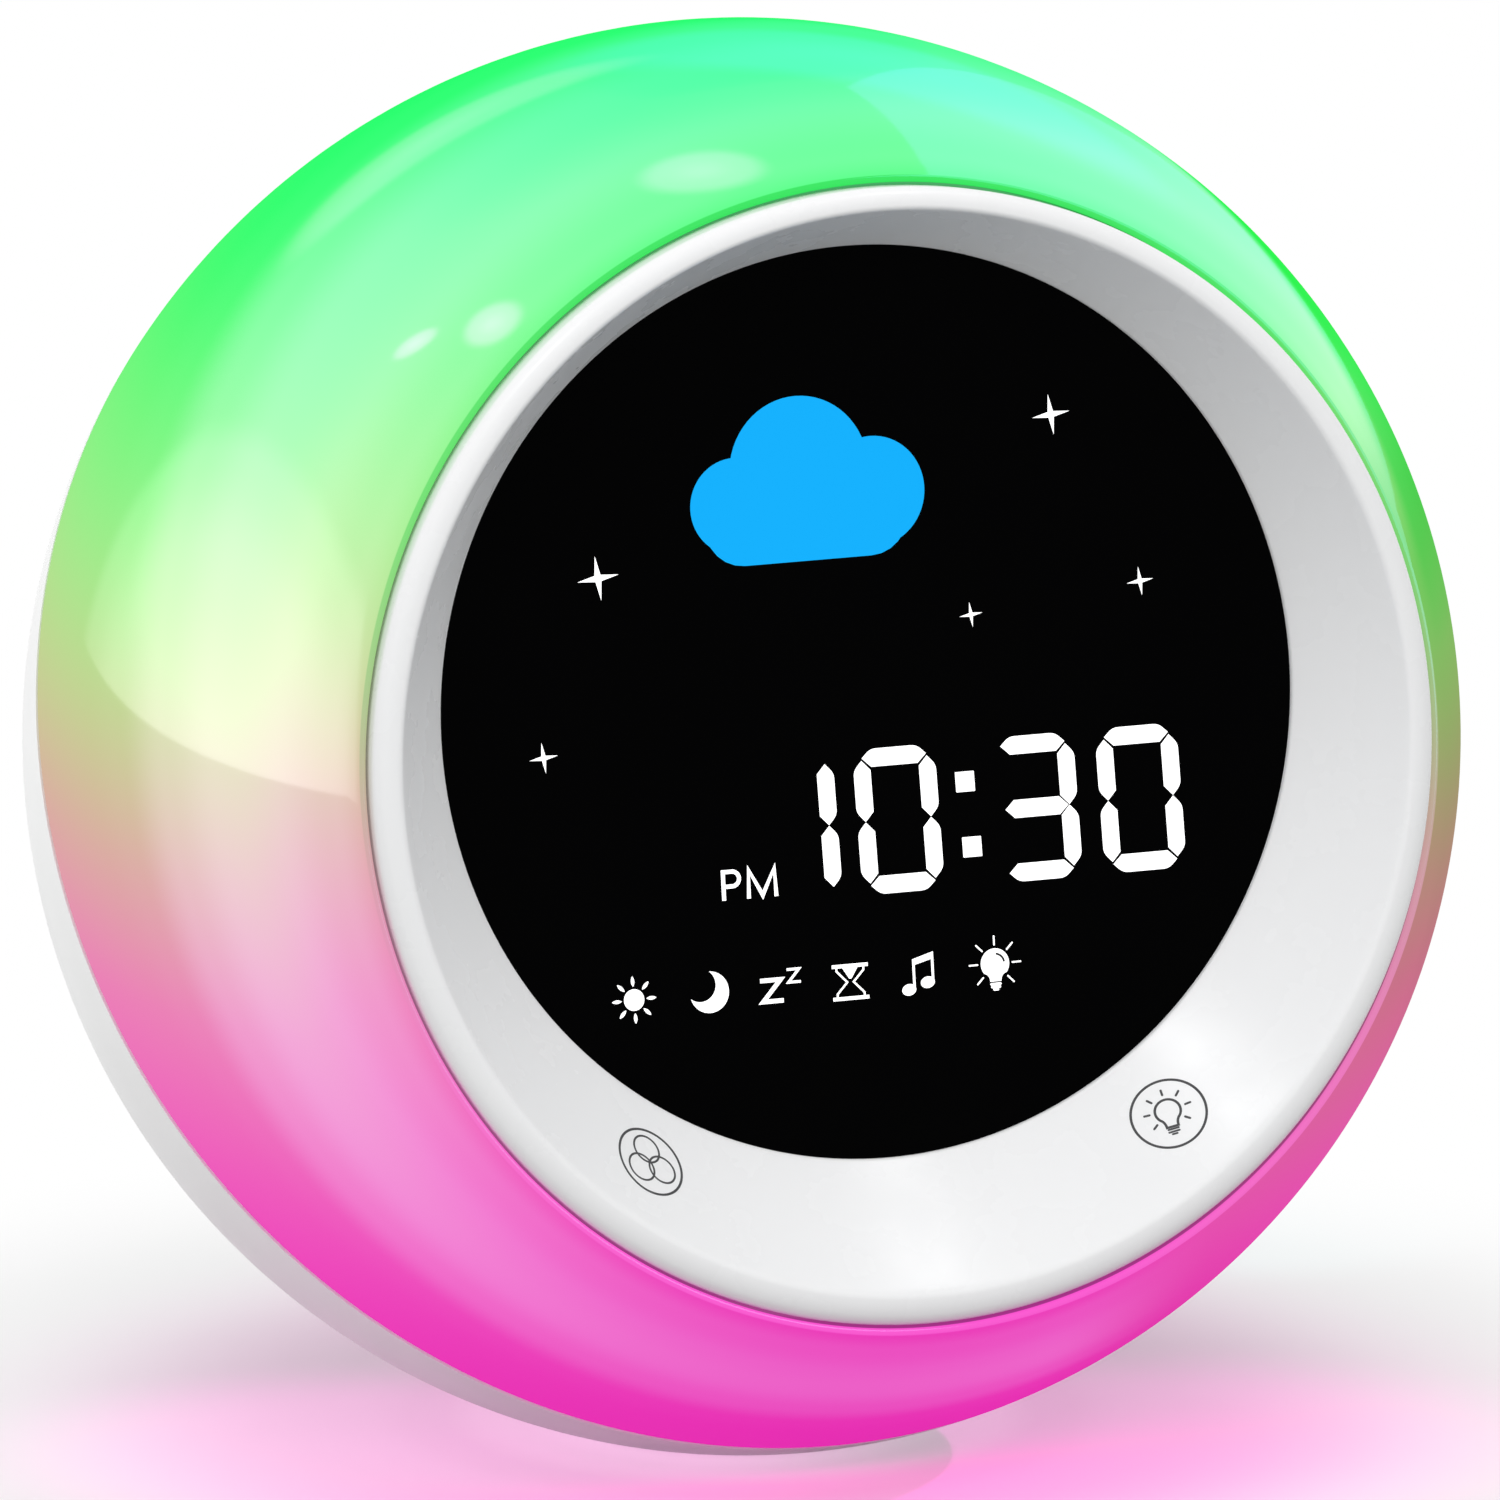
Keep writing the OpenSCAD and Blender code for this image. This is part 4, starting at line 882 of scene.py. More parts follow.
def notes_icon():
    head = blob([(0.78 * x, 0.6 * y) for x, y in arc(0, 0, 1, 0, 360, 28)[:-1]])
    heads = [moved(head, x, y, 8) for x, y in ((-1.38, -1.62), (0.72, -1.0))]
    stems = [stroke([(x, low), (x, low + 2.7)], 0.26, round_ends=False)
             for x, low in ((-0.78, -1.5), (1.32, -0.9))]
    beam = blob([(-0.91, 0.85), (1.45, 1.45), (1.45, 2.15), (-0.91, 1.5)])
    return heads + stems + [beam]


def bulb_outline(r, neck, drop):
    """Outline of a bulb: a round top that draws in to its neck."""
    shoulder = -38
    side = arc(0, 0, r, shoulder, 180 - shoulder, 40)
    right = [tuple(p) for p in blend_corner(side[0], (neck, -drop * 0.62), (neck, -drop), 6)]
    return right[::-1] + side[1:-1] + [(-x, y) for x, y in right]


def bulb_icon():
    rays = [moved(stroke([(1.95, 0), (2.85, 0)], 0.17), turn=a) for a in (0, 45, 90, 135, 180, 225, 315)]
    glint = stroke(arc(0, 0, 1.02, 12, 78, 8), 0.22)
    base = level_bars(((0.5, -2.12), (0.42, -2.42), (0.2, -2.68)), 0.26)
    return [blob(bulb_outline(1.58, 0.62, 1.85))] + rays + base, [glint]


ICON_ROW = (
    ("sun", -27.45, -22.7), ("crescent", -19.1, -22.6), ("sleep", -12.0, -22.9),
    ("hourglass", -3.45, -22.85), ("notes", 4.4, -22.6), ("bulb", 12.68, -22.3))


def make_icons():
    bulb, glint = bulb_icon()
    drawn = {
        "sun": sun_icon(),
        "crescent": [blob(crescent(2.15, 1.72, 1.25, 142))],
        "sleep": [moved(letter_z(2.5, 2.65, 0.46), -1.45, -1.45),
                  moved(letter_z(1.5, 1.6, 0.27), 1.55, 0.45)],
        "hourglass": hourglass_icon(),
        "notes": notes_icon(),
        "bulb": bulb,
    }
    return drawn, glint


def cloud():
    """A plain cloud: three puffs over a flat foot."""
    puffs = [disc(-6.1, 1.0, 4.1, 64), disc(-0.2, 3.6, 6.3, 64), disc(6.4, 1.3, 4.7, 64)]
    foot = blob(slot_outline(18.5, 7.0, 12))
    return puffs + [moved(foot, 0.25, -0.6)]


def sparkle(r, waist=0.2):
    """Outline of a small star with four points."""
    return [spoke(r * (1, waist)[i % 2], 45 * i) for i in range(8)]


ART_PLACE = (-6, 26)
ART_SCALE = 1.22
SPARKLES = ((22, 34, 2.1), (31, 16, 1.5), (-29, 21, 2.3), (-36, 3, 1.6), (12, 14, 1.3))

# Marks on the slope, which are printed on its cone
TOUCH_ANGLE = 34.1
TOUCH_SHARE = 0.484
MARK_R = 3.95
MARK_W = 0.27
MARK_TURN = 26
MARK_PROUD = 0.02
SLOPE_REACH = 3
HALVINGS = 30


def cone_gap(point):
    """How far a point of the face's frame is out of the slope's hollow, across its axis."""
    x, y, z = point
    r, up, _ = slope_ring((z - LAND_D) / (CREST_D - LAND_D))
    return hypot(x, y - up) - r


def mark_frame(side):
    """Frame on the slope, in the face's frame: +X runs up the slope and +Z out of it."""
    r, up, z = slope_ring(TOUCH_SHARE)
    a = radians(TOUCH_ANGLE)
    rise = atan2(CREST_D - LAND_D, LIP_R - DISPLAY_R + (DISPLAY_UP - CREST_UP) * cos(a))
    place = Matrix.Translation((side * r * sin(a), up - r * cos(a), z))
    return place @ Matrix.Rotation(radians(-90) + side * a, 4, "Z") @ Matrix.Rotation(-rise, 4, "Y")


def onto_slope(piece, side):
    """Lays a flat mark, drawn in millimetres, on the slope. Its +Y becomes the way up the clock."""
    matrix = mark_frame(side) @ Matrix.Rotation(radians(-side * MARK_TURN), 4, "Z")
    for vertex in piece.data.vertices:
        x, y, lift = vertex.co / MM
        low, high = -SLOPE_REACH, SLOPE_REACH
        for _ in range(HALVINGS):
            middle = (low + high) / 2
            inside = cone_gap(matrix @ Vector((-y, x, middle))) < 0
            low, high = (low, middle) if inside else (middle, high)
        rise = MARK_PROUD if lift > 0 else -MARK_PROUD
        vertex.co = FACE @ matrix @ Vector((-y, x, middle + rise)) * MM
    soften(piece.data)
    return piece


def rings_mark():
    """Three rings that overlap, in a circle."""
    small = [ring(*spoke(1.55, a), 1.6, MARK_W * 0.85, 40) for a in (90, 210, 330)]
    return [ring(0, 0, MARK_R, MARK_W, 72)] + small


def lamp_mark():
    """The outline of a bulb with short rays, in a circle."""
    ray = stroke([(1.95, 0), (2.5, 0)], MARK_W * 0.9)
    rays = [moved(ray, 0, 0.35, a) for a in (-38, 5, 48, 91, 134, 177, 220)]
    base = level_bars(((0.55, -1.82), (0.55, -2.14), (0.25, -2.42)), MARK_W * 0.8)
    bulb = moved(stroke(bulb_outline(1.35, 0.62, 1.9), MARK_W, closed=True), 0, 0.35)
    return [ring(0, 0, MARK_R, MARK_W, 72), bulb] + base + rays


# Prints on the keys and by the switch
def key_symbols(icons):
    """Plain symbols for the keys, drawn upright: light, sound, down, up, set and alarm."""
    arrow = blob([(0, 1.5), (-1.75, -1.1), (1.75, -1.1)])
    teeth = [moved(blob(box_outline(0.8, 0.7, 0.15)), *spoke(1.75, a), a) for a in range(0, 360, 45)]
    hands = [stroke([(0, 0), (0, 1.1)], 0.3), stroke([(0, 0), (0.8, -0.4)], 0.3)]
    bells = [moved(blob(slot_outline(1.2, 0.5)), side * 1.55, 1.55, -45 * side) for side in (-1, 1)]
    return {
        "light": [moved(p, scale=0.82) for p in icons["bulb"]],
        "sound": [moved(p, scale=0.85) for p in icons["notes"]],
        "down": [moved(arrow, turn=180)],
        "up": [arrow],
        "set": [ring(0, 0, 1.2, 0.7, 48)] + teeth,
        "alarm": [ring(0, 0, 1.6, 0.38, 48)] + hands + bells,
    }


def knob_ribs():
    """Grip ribs across the switch's knob."""
    return [moved(blob(box_outline(0.34, KNOB_SIZE[1] - 0.5, 0.12)), x) for x in (-1.4, -0.7, 0, 0.7, 1.4)]


def switch_marks():
    """A stroke and a ring beside the switch, for on and off."""
    reach = (KNOB_SIZE[0] + KNOB_TRAVEL + KNOB_ROOM[0]) / 2 + 1.5
    return [stroke([(-reach, -0.8), (-reach, 0.8)], 0.34), ring(reach, 0, 0.8, 0.3, 40)]


# ---- The camera's directions ----

CAMERA_TURN = -21.8
CAMERA_UP = 12.6
CAMERA_FAR = 3000
FRAME_WIDTH = 156.46
FRAME_RIGHT = 0.887
FRAME_DOWN = 1.419
SENSOR = 36

turn, up = radians(CAMERA_TURN), radians(CAMERA_UP)
TOWARDS = Vector((sin(turn) * cos(up), -cos(turn) * cos(up), sin(up)))
RIGHT = Vector((cos(turn), sin(turn), 0))
ABOVE = TOWARDS.cross(RIGHT)


# ---- Finishes ----

def colours(*stops):
    """Stops of (height, red, green, blue) as (height, colour) pairs."""
    return [(height, srgb(*rgb)) for height, *rgb in stops]


# The glow by height above the ball's centre: by the edges and in the pale middle, and a painted highlight on
# the mouth's rounded lip
GLOW_EDGE = colours(
    (-72, 238, 30, 183), (-45, 247, 64, 195), (-20, 240, 125, 186), (-3, 218, 172, 158), (12, 195, 212, 142),
    (27, 152, 238, 136), (42, 90, 248, 116), (56, 26, 252, 106), (70, 0, 252, 104))
GLOW_MID = colours(
    (-72, 240, 60, 195), (-45, 250, 122, 218), (-20, 247, 166, 220), (-3, 240, 205, 210), (12, 233, 233, 196),
    (26, 205, 250, 180), (42, 168, 254, 186), (60, 140, 254, 184), (72, 75, 254, 165))
PAINTED_LIP_HIGHLIGHT = colours(
    (-60, 255, 84, 216), (-30, 250, 110, 205), (-3, 205, 170, 160), (26, 80, 226, 100), (60, 5, 222, 75))

# How pale the glow is on the way from the mouth, at 0, to the parting line, at 1
PALENESS = ((0, 0.1), (0.08, 0.6), (0.2, 0.95), (0.33, 1), (0.46, 0.65), (0.6, 0.06), (0.72, 0), (1, 0))

# By the mouth the colours of the floor's side reach higher, as a share of the ball's height
MOUTH_SHIFT = ((0, 0.055), (0.12, 0.045), (0.3, 0))

# Painted shade: the side towards the camera's right and down is purer in colour and dimmer, with this tint
PAINTED_SHADE_SIDE = RIGHT * 0.95 - UP * 0.3
PAINTED_SHADE_TINT = ((-25, (0.74, 0.74, 0.52, 1)), (15, (0.4, 0.78, 0.4, 1)))

# Painted shade on the outer edge of that side, where it turns from the camera: deeper in colour, with this
# tint by height
PAINTED_LIMB_SIDE = RIGHT * 0.673 + ABOVE * 0.144 - TOWARDS * 0.726
PAINTED_LIMB_TINT = ((12, (0.95, 1, 0.95, 1)), (27, (0.35, 0.95, 0.55, 1)), (45, (0.15, 0.95, 0.4, 1)))
GLOW_STRENGTH = 0.845
GLOW_BASE = 0.18
DIFFUSER_GLOSS = 0.02
LIP_HIGHLIGHT_SHARE = 0.8
PAINTED_GAP_SHADE = (0.42, 0.42, 0.42, 1)


def glowing_plastic():
    """Milky plastic lit from inside, under a clear gloss: paler midway between its two edges, with painted
    shade on one side, at its limb and in the gap by the bezel, and a painted highlight on the lip.
    """
    s = Shading("milky_diffuser")
    centre = tuple(CENTRE_POINT * MM)
    from_centre = s.node("ShaderNodeVectorMath", {0: s.place(), 1: centre}, operation="SUBTRACT").outputs[0]

    def along(direction):
        return s.dot(from_centre, tuple(direction / (BALL_R * MM)))

    drift = s.math("MULTIPLY", s.math("SUBTRACT", s.noise(14, 2), 0.5), 0.05)
    level = s.math("ADD", s.math("MULTIPLY", s.math("ADD", along(UP), 1), 0.5), drift)

    to_mouth = s.math("SUBTRACT", (RIM_D + 0.3) / BALL_R, along(FACE_OUT), clamp=True)
    to_seam = s.math("ADD", along(SEAM_OUT), SEAM_BACK / BALL_R, clamp=True)
    way = s.math("DIVIDE", to_mouth, s.math("ADD", to_mouth, to_seam))
    # Painted shade: away is how far a point lies on the side towards the camera's right and down
    away = s.ramp(along(PAINTED_SHADE_SIDE), [(0.62, 0.0), (0.82, 1.0)], "EASE")
    plain = s.math("SUBTRACT", 1, away)
    level = s.math("SUBTRACT", level, s.math("MULTIPLY", plain, s.ramp(way, MOUTH_SHIFT, "EASE")))

    def by_height(stops, interpolation="B_SPLINE"):
        return s.ramp(level, [(0.5 + z / (2 * BALL_R), colour) for z, colour in stops], interpolation)

    # Painted shade at the limb: deep is how far a point lies on the edge that turns from the camera
    deep = s.ramp(along(PAINTED_LIMB_SIDE), [(0.44, 0.0), (0.51, 1.0)], "EASE")
    pale = s.math("MULTIPLY", s.ramp(way, PALENESS, "EASE"), plain)
    pale = s.math("MULTIPLY", pale, s.math("SUBTRACT", 1, deep))
    glow = s.mix(pale, by_height(GLOW_EDGE), by_height(GLOW_MID))
    glow = s.tint(deep, glow, by_height(PAINTED_LIMB_TINT, "LINEAR"))
    # The painted shade's tint on that side, weaker towards the bottom
    low = s.ramp(level, [(0.17, 0.25), (0.4, 1.0)], "EASE")
    glow = s.tint(s.math("MULTIPLY", away, low), glow, by_height(PAINTED_SHADE_TINT, "LINEAR"))
    # A painted highlight on the mouth's rounded lip
    glow = s.mix(s.math("MULTIPLY", s.mark("lip"), LIP_HIGHLIGHT_SHARE), glow, by_height(PAINTED_LIP_HIGHLIGHT))
    # Painted shade in the gap between the diffuser and the bezel
    glow = s.tint(s.mark("gap"), glow, PAINTED_GAP_SHADE)
    s.set(Base_Color=s.tint(1.0, glow, scaled((1, 1, 1), GLOW_BASE)))
    s.set(Emission_Color=glow, Emission_Strength=GLOW_STRENGTH, Roughness=0.3, Specular_IOR_Level=0.0)
    gloss = s.node("ShaderNodeBsdfGlossy", {"Color": (1, 1, 1, 1)})
    s.put(gloss.inputs["Roughness"], s.ramp(s.noise(90, 3), [(0.3, 0.04), (0.7, 0.07)]))
    s.bump(s.noise(35, 2), 0.02)
    s.put(gloss.inputs["Normal"], s.shader.inputs["Normal"].links[0].from_socket)
    s.blend(DIFFUSER_GLOSS, gloss)
    return s.material


def lit(name, rgb, strength=1.0, body=0.8):
    """A printed window that is lit from behind. Its own colour is body times as bright."""
    s = Shading(name)
    colour = srgb(*rgb)
    s.set(Base_Color=s.mix(s.noise(700, 2), scaled(colour, body * 0.9), scaled(colour, body)))
    s.set(Emission_Color=colour, Emission_Strength=strength, Roughness=0.5, Specular_IOR_Level=0.1)
    return s.material


def tinted_window():
    s = Shading("smoked_window")
    s.set(Base_Color=s.mix(s.noise(40, 2), (0.0006, 0.0006, 0.0007, 1), (0.001, 0.001, 0.0011, 1)))
    s.set(Roughness=s.ramp(s.noise(300, 2), [(0.3, 0.18), (0.7, 0.22)]), Specular_IOR_Level=0.008)
    return s.material


def metal(name, rgb, roughness, brushed):
    s = Shading(name)
    colour = srgb(*rgb)
    s.set(Base_Color=s.mix(s.noise(400, 3), scaled(colour, 0.85), colour), Metallic=1.0)
    s.set(Roughness=s.ramp(s.noise(900, 3), [(0.3, roughness * 0.8), (0.7, roughness * 1.3)]))
    s.bump(s.noise(3000, 2), brushed)
    return s.material


def circuit_board(name, mask_rgb, pads_rgb):
    """Solder mask over straight tracks, with small tinned pads."""
    s = Shading(name)
    mask = srgb(*mask_rgb)
    tracks = s.node("ShaderNodeTexBrick", {"Vector": s.place(), "Scale": 260, "Mortar Size": 0.03})
    pads = s.node("ShaderNodeTexVoronoi", {"Vector": s.place(), "Scale": 330})
    dots = s.ramp(pads.outputs["Distance"], [(0.1, 1.0), (0.16, 0.0)])
    base = s.mix(tracks.outputs["Fac"], mask, scaled(mask, 1.6))
    s.set(Base_Color=s.mix(dots, base, srgb(*pads_rgb)))
    s.set(Roughness=s.ramp(s.noise(500), [(0.3, 0.3), (0.7, 0.45)]))
    s.bump(tracks.outputs["Fac"], 0.03)
    return s.material


def paper_cone():
    s = Shading("paper_cone")
    fibre = s.noise(1800, 5, 0.7)
    s.set(Base_Color=s.mix(fibre, (0.012, 0.012, 0.013, 1), (0.05, 0.05, 0.052, 1)), Roughness=0.85)
    s.bump(fibre, 0.05)
    return s.material


def striped(name, dark, light, scale):
    """A flat ribbon of parallel wires."""
    s = Shading(name)
    wave = s.node("ShaderNodeTexWave", {"Vector": s.place(), "Scale": scale}, bands_direction="X")
    s.set(Base_Color=s.mix(wave.outputs["Fac"], srgb(*dark), srgb(*light)), Roughness=0.4)
    s.bump(wave.outputs["Fac"], 0.05)
    return s.material


MILKY = glowing_plastic()
WHITE_GLOSS = plastic("white_gloss", (242, 242, 243), 0.27, 0.004, 260, Specular_IOR_Level=0.2)
WHITE_SATIN = plastic("white_satin", (238, 238, 238), 0.38, 0.02, 2400)
LIT_WHITE = lit("lit_white", (255, 255, 255))
LIT_BLUE = lit("lit_blue", (8, 178, 255), 0.92, body=0.08)
PRINT = plastic("grey_print", (70, 70, 72), 0.5, 0.002, 3000)
GLINT = plastic("unlit_print", (6, 6, 7), 0.5)
KEY_PLASTIC = plastic("key_plastic", (214, 218, 224), 0.36, 0.015, 2400)
KEY_PRINT = plastic("key_print", (96, 100, 110), 0.5, 0.002, 3000)
KNOB_PLASTIC = plastic("knob_plastic", (62, 64, 70), 0.4, 0.02, 2600, 0.08)

# Finishes of the pieces that keep the shape of the solids, by patterns of their names
NODE_FINISHES = (
    (tinted_window(), "display_lens"),
    (KNOB_PLASTIC, "switch_knob"),
    (plastic("plunger_plastic", (222, 220, 206), 0.4, 0.01, 2000), "plunger_*"),
    (plastic("soft_rubber", (58, 58, 62), 0.75, 0.04, 2600, 0.15), "base_pad"),
    (plastic("dark_foam", (52, 52, 55), 0.9, 0.08, 3500, 0.3), "light_seal speaker_gasket"),
    (plastic("printed_film", (26, 26, 29), 0.35, 0.003, 2000), "display_mask"),
    (plastic("inner_plastic", (226, 226, 223), 0.5, 0.03, 1200, 0.05),
     "display_light_box display_cover chassis main_board_sockets"),
    (circuit_board("green_board", (22, 84, 48), (205, 200, 190)),
     "display_board main_board rear_board"),
    (circuit_board("white_board", (225, 226, 222), (190, 186, 176)), "light_ring_board"),
    (plastic("lamp_lens", (246, 240, 196), 0.2, 0.01, 1500), "display_leds light_ring_leds"),
    (striped("ribbon_cable", (196, 180, 140), (232, 222, 190), 260), "display_ribbon"),
    (metal("copper", (206, 128, 84), 0.3, 0.01), "touch_pad_*"),
    (plastic("black_wire", (28, 28, 30), 0.45, 0.01, 1800, 0.1),
     "touch_leads speaker_lead rear_board_lead"),
    (plastic("red_wire", (176, 38, 34), 0.42, 0.01, 1800, 0.1), "battery_lead light_ring_lead"),
    (plastic("chip_resin", (34, 34, 37), 0.55, 0.03, 4200, 0.15),
     "main_board_chips key_switches switch_body"),
    (plastic("capacitor_sleeve", (54, 62, 118), 0.3, 0.01, 1500, 0.1), "main_board_capacitors"),
    (plastic("tray_plastic", (64, 64, 68), 0.5, 0.03, 1400, 0.08), "battery_tray"),
    (plastic("cell_wrap", (52, 118, 184), 0.28, 0.006, 500, 0.06), "battery_cell"),
    (metal("speaker_steel", (120, 122, 126), 0.4, 0.03), "speaker_frame"),
    (metal("magnet_nickel", (168, 168, 172), 0.35, 0.02), "speaker_magnet"),
    (paper_cone(), "speaker_cone"),
    (metal("socket_nickel", (190, 193, 197), 0.25, 0.01), "usb_socket"),
    (metal("zinc_screw", (172, 176, 182), 0.28, 0.02), "*_screws"),
)
for finish, patterns in NODE_FINISHES:
    for name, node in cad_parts.items():
        if any(fnmatch(name, pattern) for pattern in patterns.split()):
            for i in range(len(node.data.materials)):
                node.data.materials[i] = finish


# ---- Pieces ----

diffuser = dress(make_diffuser(), MILKY, replaces=["diffuser_shell"])
bezel = dress(make_bezel(), WHITE_GLOSS, replaces=["front_bezel"])
housing = dress(make_housing(), WHITE_SATIN, replaces=["rear_housing"])


def draw(name, plates, matrix, finish, body=CLOCK, merge=False):
    """One piece of thin plates, in its finish."""
    return dress(plates_object(name, plates, matrix, merge), finish, body)


draw("time_digits", make_digits(), DISPLAY, LIT_WHITE)
draw("pm_marker", make_marker(), DISPLAY, LIT_WHITE, merge=True)
icons, glint = make_icons()
for name, x, y in ICON_ROW:
    matrix = DISPLAY @ Matrix.Translation((x, y, 0))
    draw(name + "_icon", icons[name], matrix, LIT_WHITE, merge=name in ("hourglass", "notes"))
    if name == "bulb":
        draw("bulb_glint", glint, matrix @ Matrix.Translation((0, 0, PLATE_PROUD)), GLINT)
art_matrix = DISPLAY @ Matrix.Translation((*ART_PLACE, 0)) @ Matrix.Diagonal((ART_SCALE, ART_SCALE, 1, 1))
draw("cloud_picture", cloud(), art_matrix, LIT_BLUE, merge=True)
draw("sparkles", [moved(blob(sparkle(r)), x, y, 6) for x, y, r in SPARKLES], DISPLAY, LIT_WHITE)
for side, name, plates in ((-1, "touch_mark_rings", rings_mark()), (1, "touch_mark_bulb", lamp_mark())):
    onto_slope(draw(name, plates, WORLD, PRINT, merge=True), side)

symbols = key_symbols(icons)
for i, name in enumerate(KEYS):
    body = name + "_key"
    dress(make_key("cap_" + name, i), KEY_PLASTIC, body, ["key_" + name])
    place = key_frame(i) @ Matrix.Translation((0, 0, KEY_FLOOR))
    draw("symbol_" + name, symbols[name], place, KEY_PRINT, body, merge=True)
knob_top = REAR @ Matrix.Translation((KNOB_PLACE[0] - KNOB_TRAVEL / 2, KNOB_PLACE[1], PANEL_W - KNOB_SUNK))
draw("knob_ribs", knob_ribs(), knob_top, KNOB_PLASTIC, "power_switch")
draw("switch_marks", switch_marks(), REAR @ Matrix.Translation((*KNOB_PLACE, PANEL_W)), PRINT)


# ---- Floor, lights and camera ----

def seen_from(right, above, towards):
    """A direction given by how it lies for the camera: right, above and towards it."""
    return (RIGHT * right + ABOVE * above + TOWARDS * towards).normalized()


def facing(thing, place, target, across=None):
    """Puts a lamp or a camera at a place and turns its -Z to the target, with its X along across."""
    out = (place - target).normalized()
    side = across or UP.cross(out)
    side = (side - out * side.dot(out)).normalized()
    turned_to = Matrix((side, out.cross(side), out)).transposed().to_4x4()
    thing.matrix_world = Matrix.Translation(place * MM) @ turned_to


def make_camera():
    data = bpy.data.cameras.new("camera")
    camera = bpy.data.objects.new("camera", data)
    bpy.context.scene.collection.objects.link(camera)
    target = CENTRE_POINT + RIGHT * FRAME_RIGHT - ABOVE * FRAME_DOWN
    facing(camera, target + TOWARDS * CAMERA_FAR, target)
    data.sensor_width = SENSOR
    data.lens = SENSOR * CAMERA_FAR / FRAME_WIDTH
    data.clip_end = 100
    bpy.context.scene.camera = camera


AMBIENT = 0.91
LAMP_FAR = 1500
WINDOW_TURN = radians(4)
WALL_TURN = 77
WALL_REACH = (-1.2, 2.5)
WALL_HIGH = 2
WALL_RADIANCE = 8
WALL_COLOUR = (0.3, 0.7, 1)
SKY_COLOUR = (0.1, 0.5, 1)
SPILL_UP = 0.15
SPILL_FADE = ((0, 1), (0.25, 0.85), (0.5, 0))
SPILL_PINK = (1, 0.12, 0.72)
FLOOR_SIZE = 6000
FLOOR_BOUNCE = (0.31, 0.325, 0.316, 1)
FLOOR_PAINTED_GLOW = (1, 0.76, 0.92, 1)
FOOT_PAINTED_GLOW = (0.96, 0.76, 0.9, 1)
FOOT_FADE = ((0.019, 0.5), (0.026, 0.33), (0.034, 0.17), (0.05, 0.1), (0.07, 0.1), (0.1, 0.0))


def area_lamp(name, shape, wide, high, radiance, place, target, across=None,
              colour=(1, 1, 1), hidden_from=()):
    """A lamp at a place, with a face of wide by high millimetres. Its radiance is that of its face."""
    data = bpy.data.lights.new(name, "AREA")
    data.shape = shape
    data.size = wide * MM
    data.size_y = high * MM
    data.energy = radiance * pi * data.size * data.size_y * (pi / 4 if shape == "ELLIPSE" else 1)
    data.color = colour
    lamp = bpy.data.objects.new(name, data)
    bpy.context.scene.collection.objects.link(lamp)
    facing(lamp, place, target, across)
    for kind in ("camera", *hidden_from):
        setattr(lamp, "visible_" + kind, False)
    return lamp


def softbox(name, direction, wide, high, radiance, shape="RECTANGLE", hidden_from=("glossy",), **more):
    """A soft lamp far out in a direction, which spans wide by high degrees."""
    size = [2 * LAMP_FAR * tan(radians(span / 2)) for span in (wide, high)]
    place = CENTRE_POINT + direction * LAMP_FAR
    return area_lamp(name, shape, *size, radiance, place, CENTRE_POINT, hidden_from=hidden_from, **more)


def fade_lamp(lamp, stops):
    """Fades a lamp by how far a point lies from its middle, as a share of its face."""
    n = Nodes(lamp.data)
    face = n.node("ShaderNodeNewGeometry").outputs["Parametric"]
    away = n.node("ShaderNodeVectorMath", {0: face, 1: (0.5, 0.5, 0)}, operation="DISTANCE").outputs["Value"]
    n.put(n.tree.nodes["Emission"].inputs["Strength"], n.ramp(away, stops, "EASE"))


def reflection(name, direction, wide, high, radiance, piece, stops, **more):
    """A round lamp that shows only in the gloss of one piece, faded from its middle by stops."""
    lamp = softbox(name, direction, wide, high, radiance, "ELLIPSE", ("diffuse",), **more)
    fade_lamp(lamp, stops)
    only_on(lamp, piece)


def only_on(lamp, piece):
    """Lets a lamp light one piece alone."""
    receivers = bpy.data.collections.new(lamp.name + "_on")
    receivers.objects.link(piece)
    lamp.light_linking.receiver_collection = receivers


def side_wall():
    """A pale wall to the right, which stands on the floor and shows only in the gloss."""
    out = (RIGHT * sin(radians(WALL_TURN)) + RIGHT.cross(UP) * -cos(radians(WALL_TURN))).normalized()
    along = UP.cross(out)
    low, far = (reach * LAMP_FAR for reach in WALL_REACH)
    high = WALL_HIGH * LAMP_FAR
    middle = CENTRE_POINT + out * LAMP_FAR + along * ((low + far) / 2) + UP * (high / 2)
    lamp = area_lamp("side_wall", "RECTANGLE", far - low, high, WALL_RADIANCE, middle, middle - out, along,
                     WALL_COLOUR, ("diffuse",))
    only_on(lamp, diffuser)


def spill(name, right, towards, wide, high, colour, radiance):
    """The diffuser's glow on the floor: a soft oval lamp just above it, placed as the camera sees it."""
    place = RIGHT * right + RIGHT.cross(UP) * towards + UP * SPILL_UP
    lamp = area_lamp(name, "ELLIPSE", wide, high, radiance, place, place - UP, RIGHT, colour, ("glossy",))
    fade_lamp(lamp, SPILL_FADE)


def make_world():
    """Plain pale light, with a white background for the camera, for gloss and through glass."""
    world = bpy.data.worlds.new("world")
    bpy.context.scene.world = world
    n = Nodes(world)
    strength = n.node("ShaderNodeMapRange", {"Value": n.shown(), "To Min": AMBIENT, "To Max": 1})
    back = n.tree.nodes["Background"]
    n.put(back.inputs["Color"], (1, 1, 1, 1))
    n.put(back.inputs["Strength"], strength.outputs["Result"])


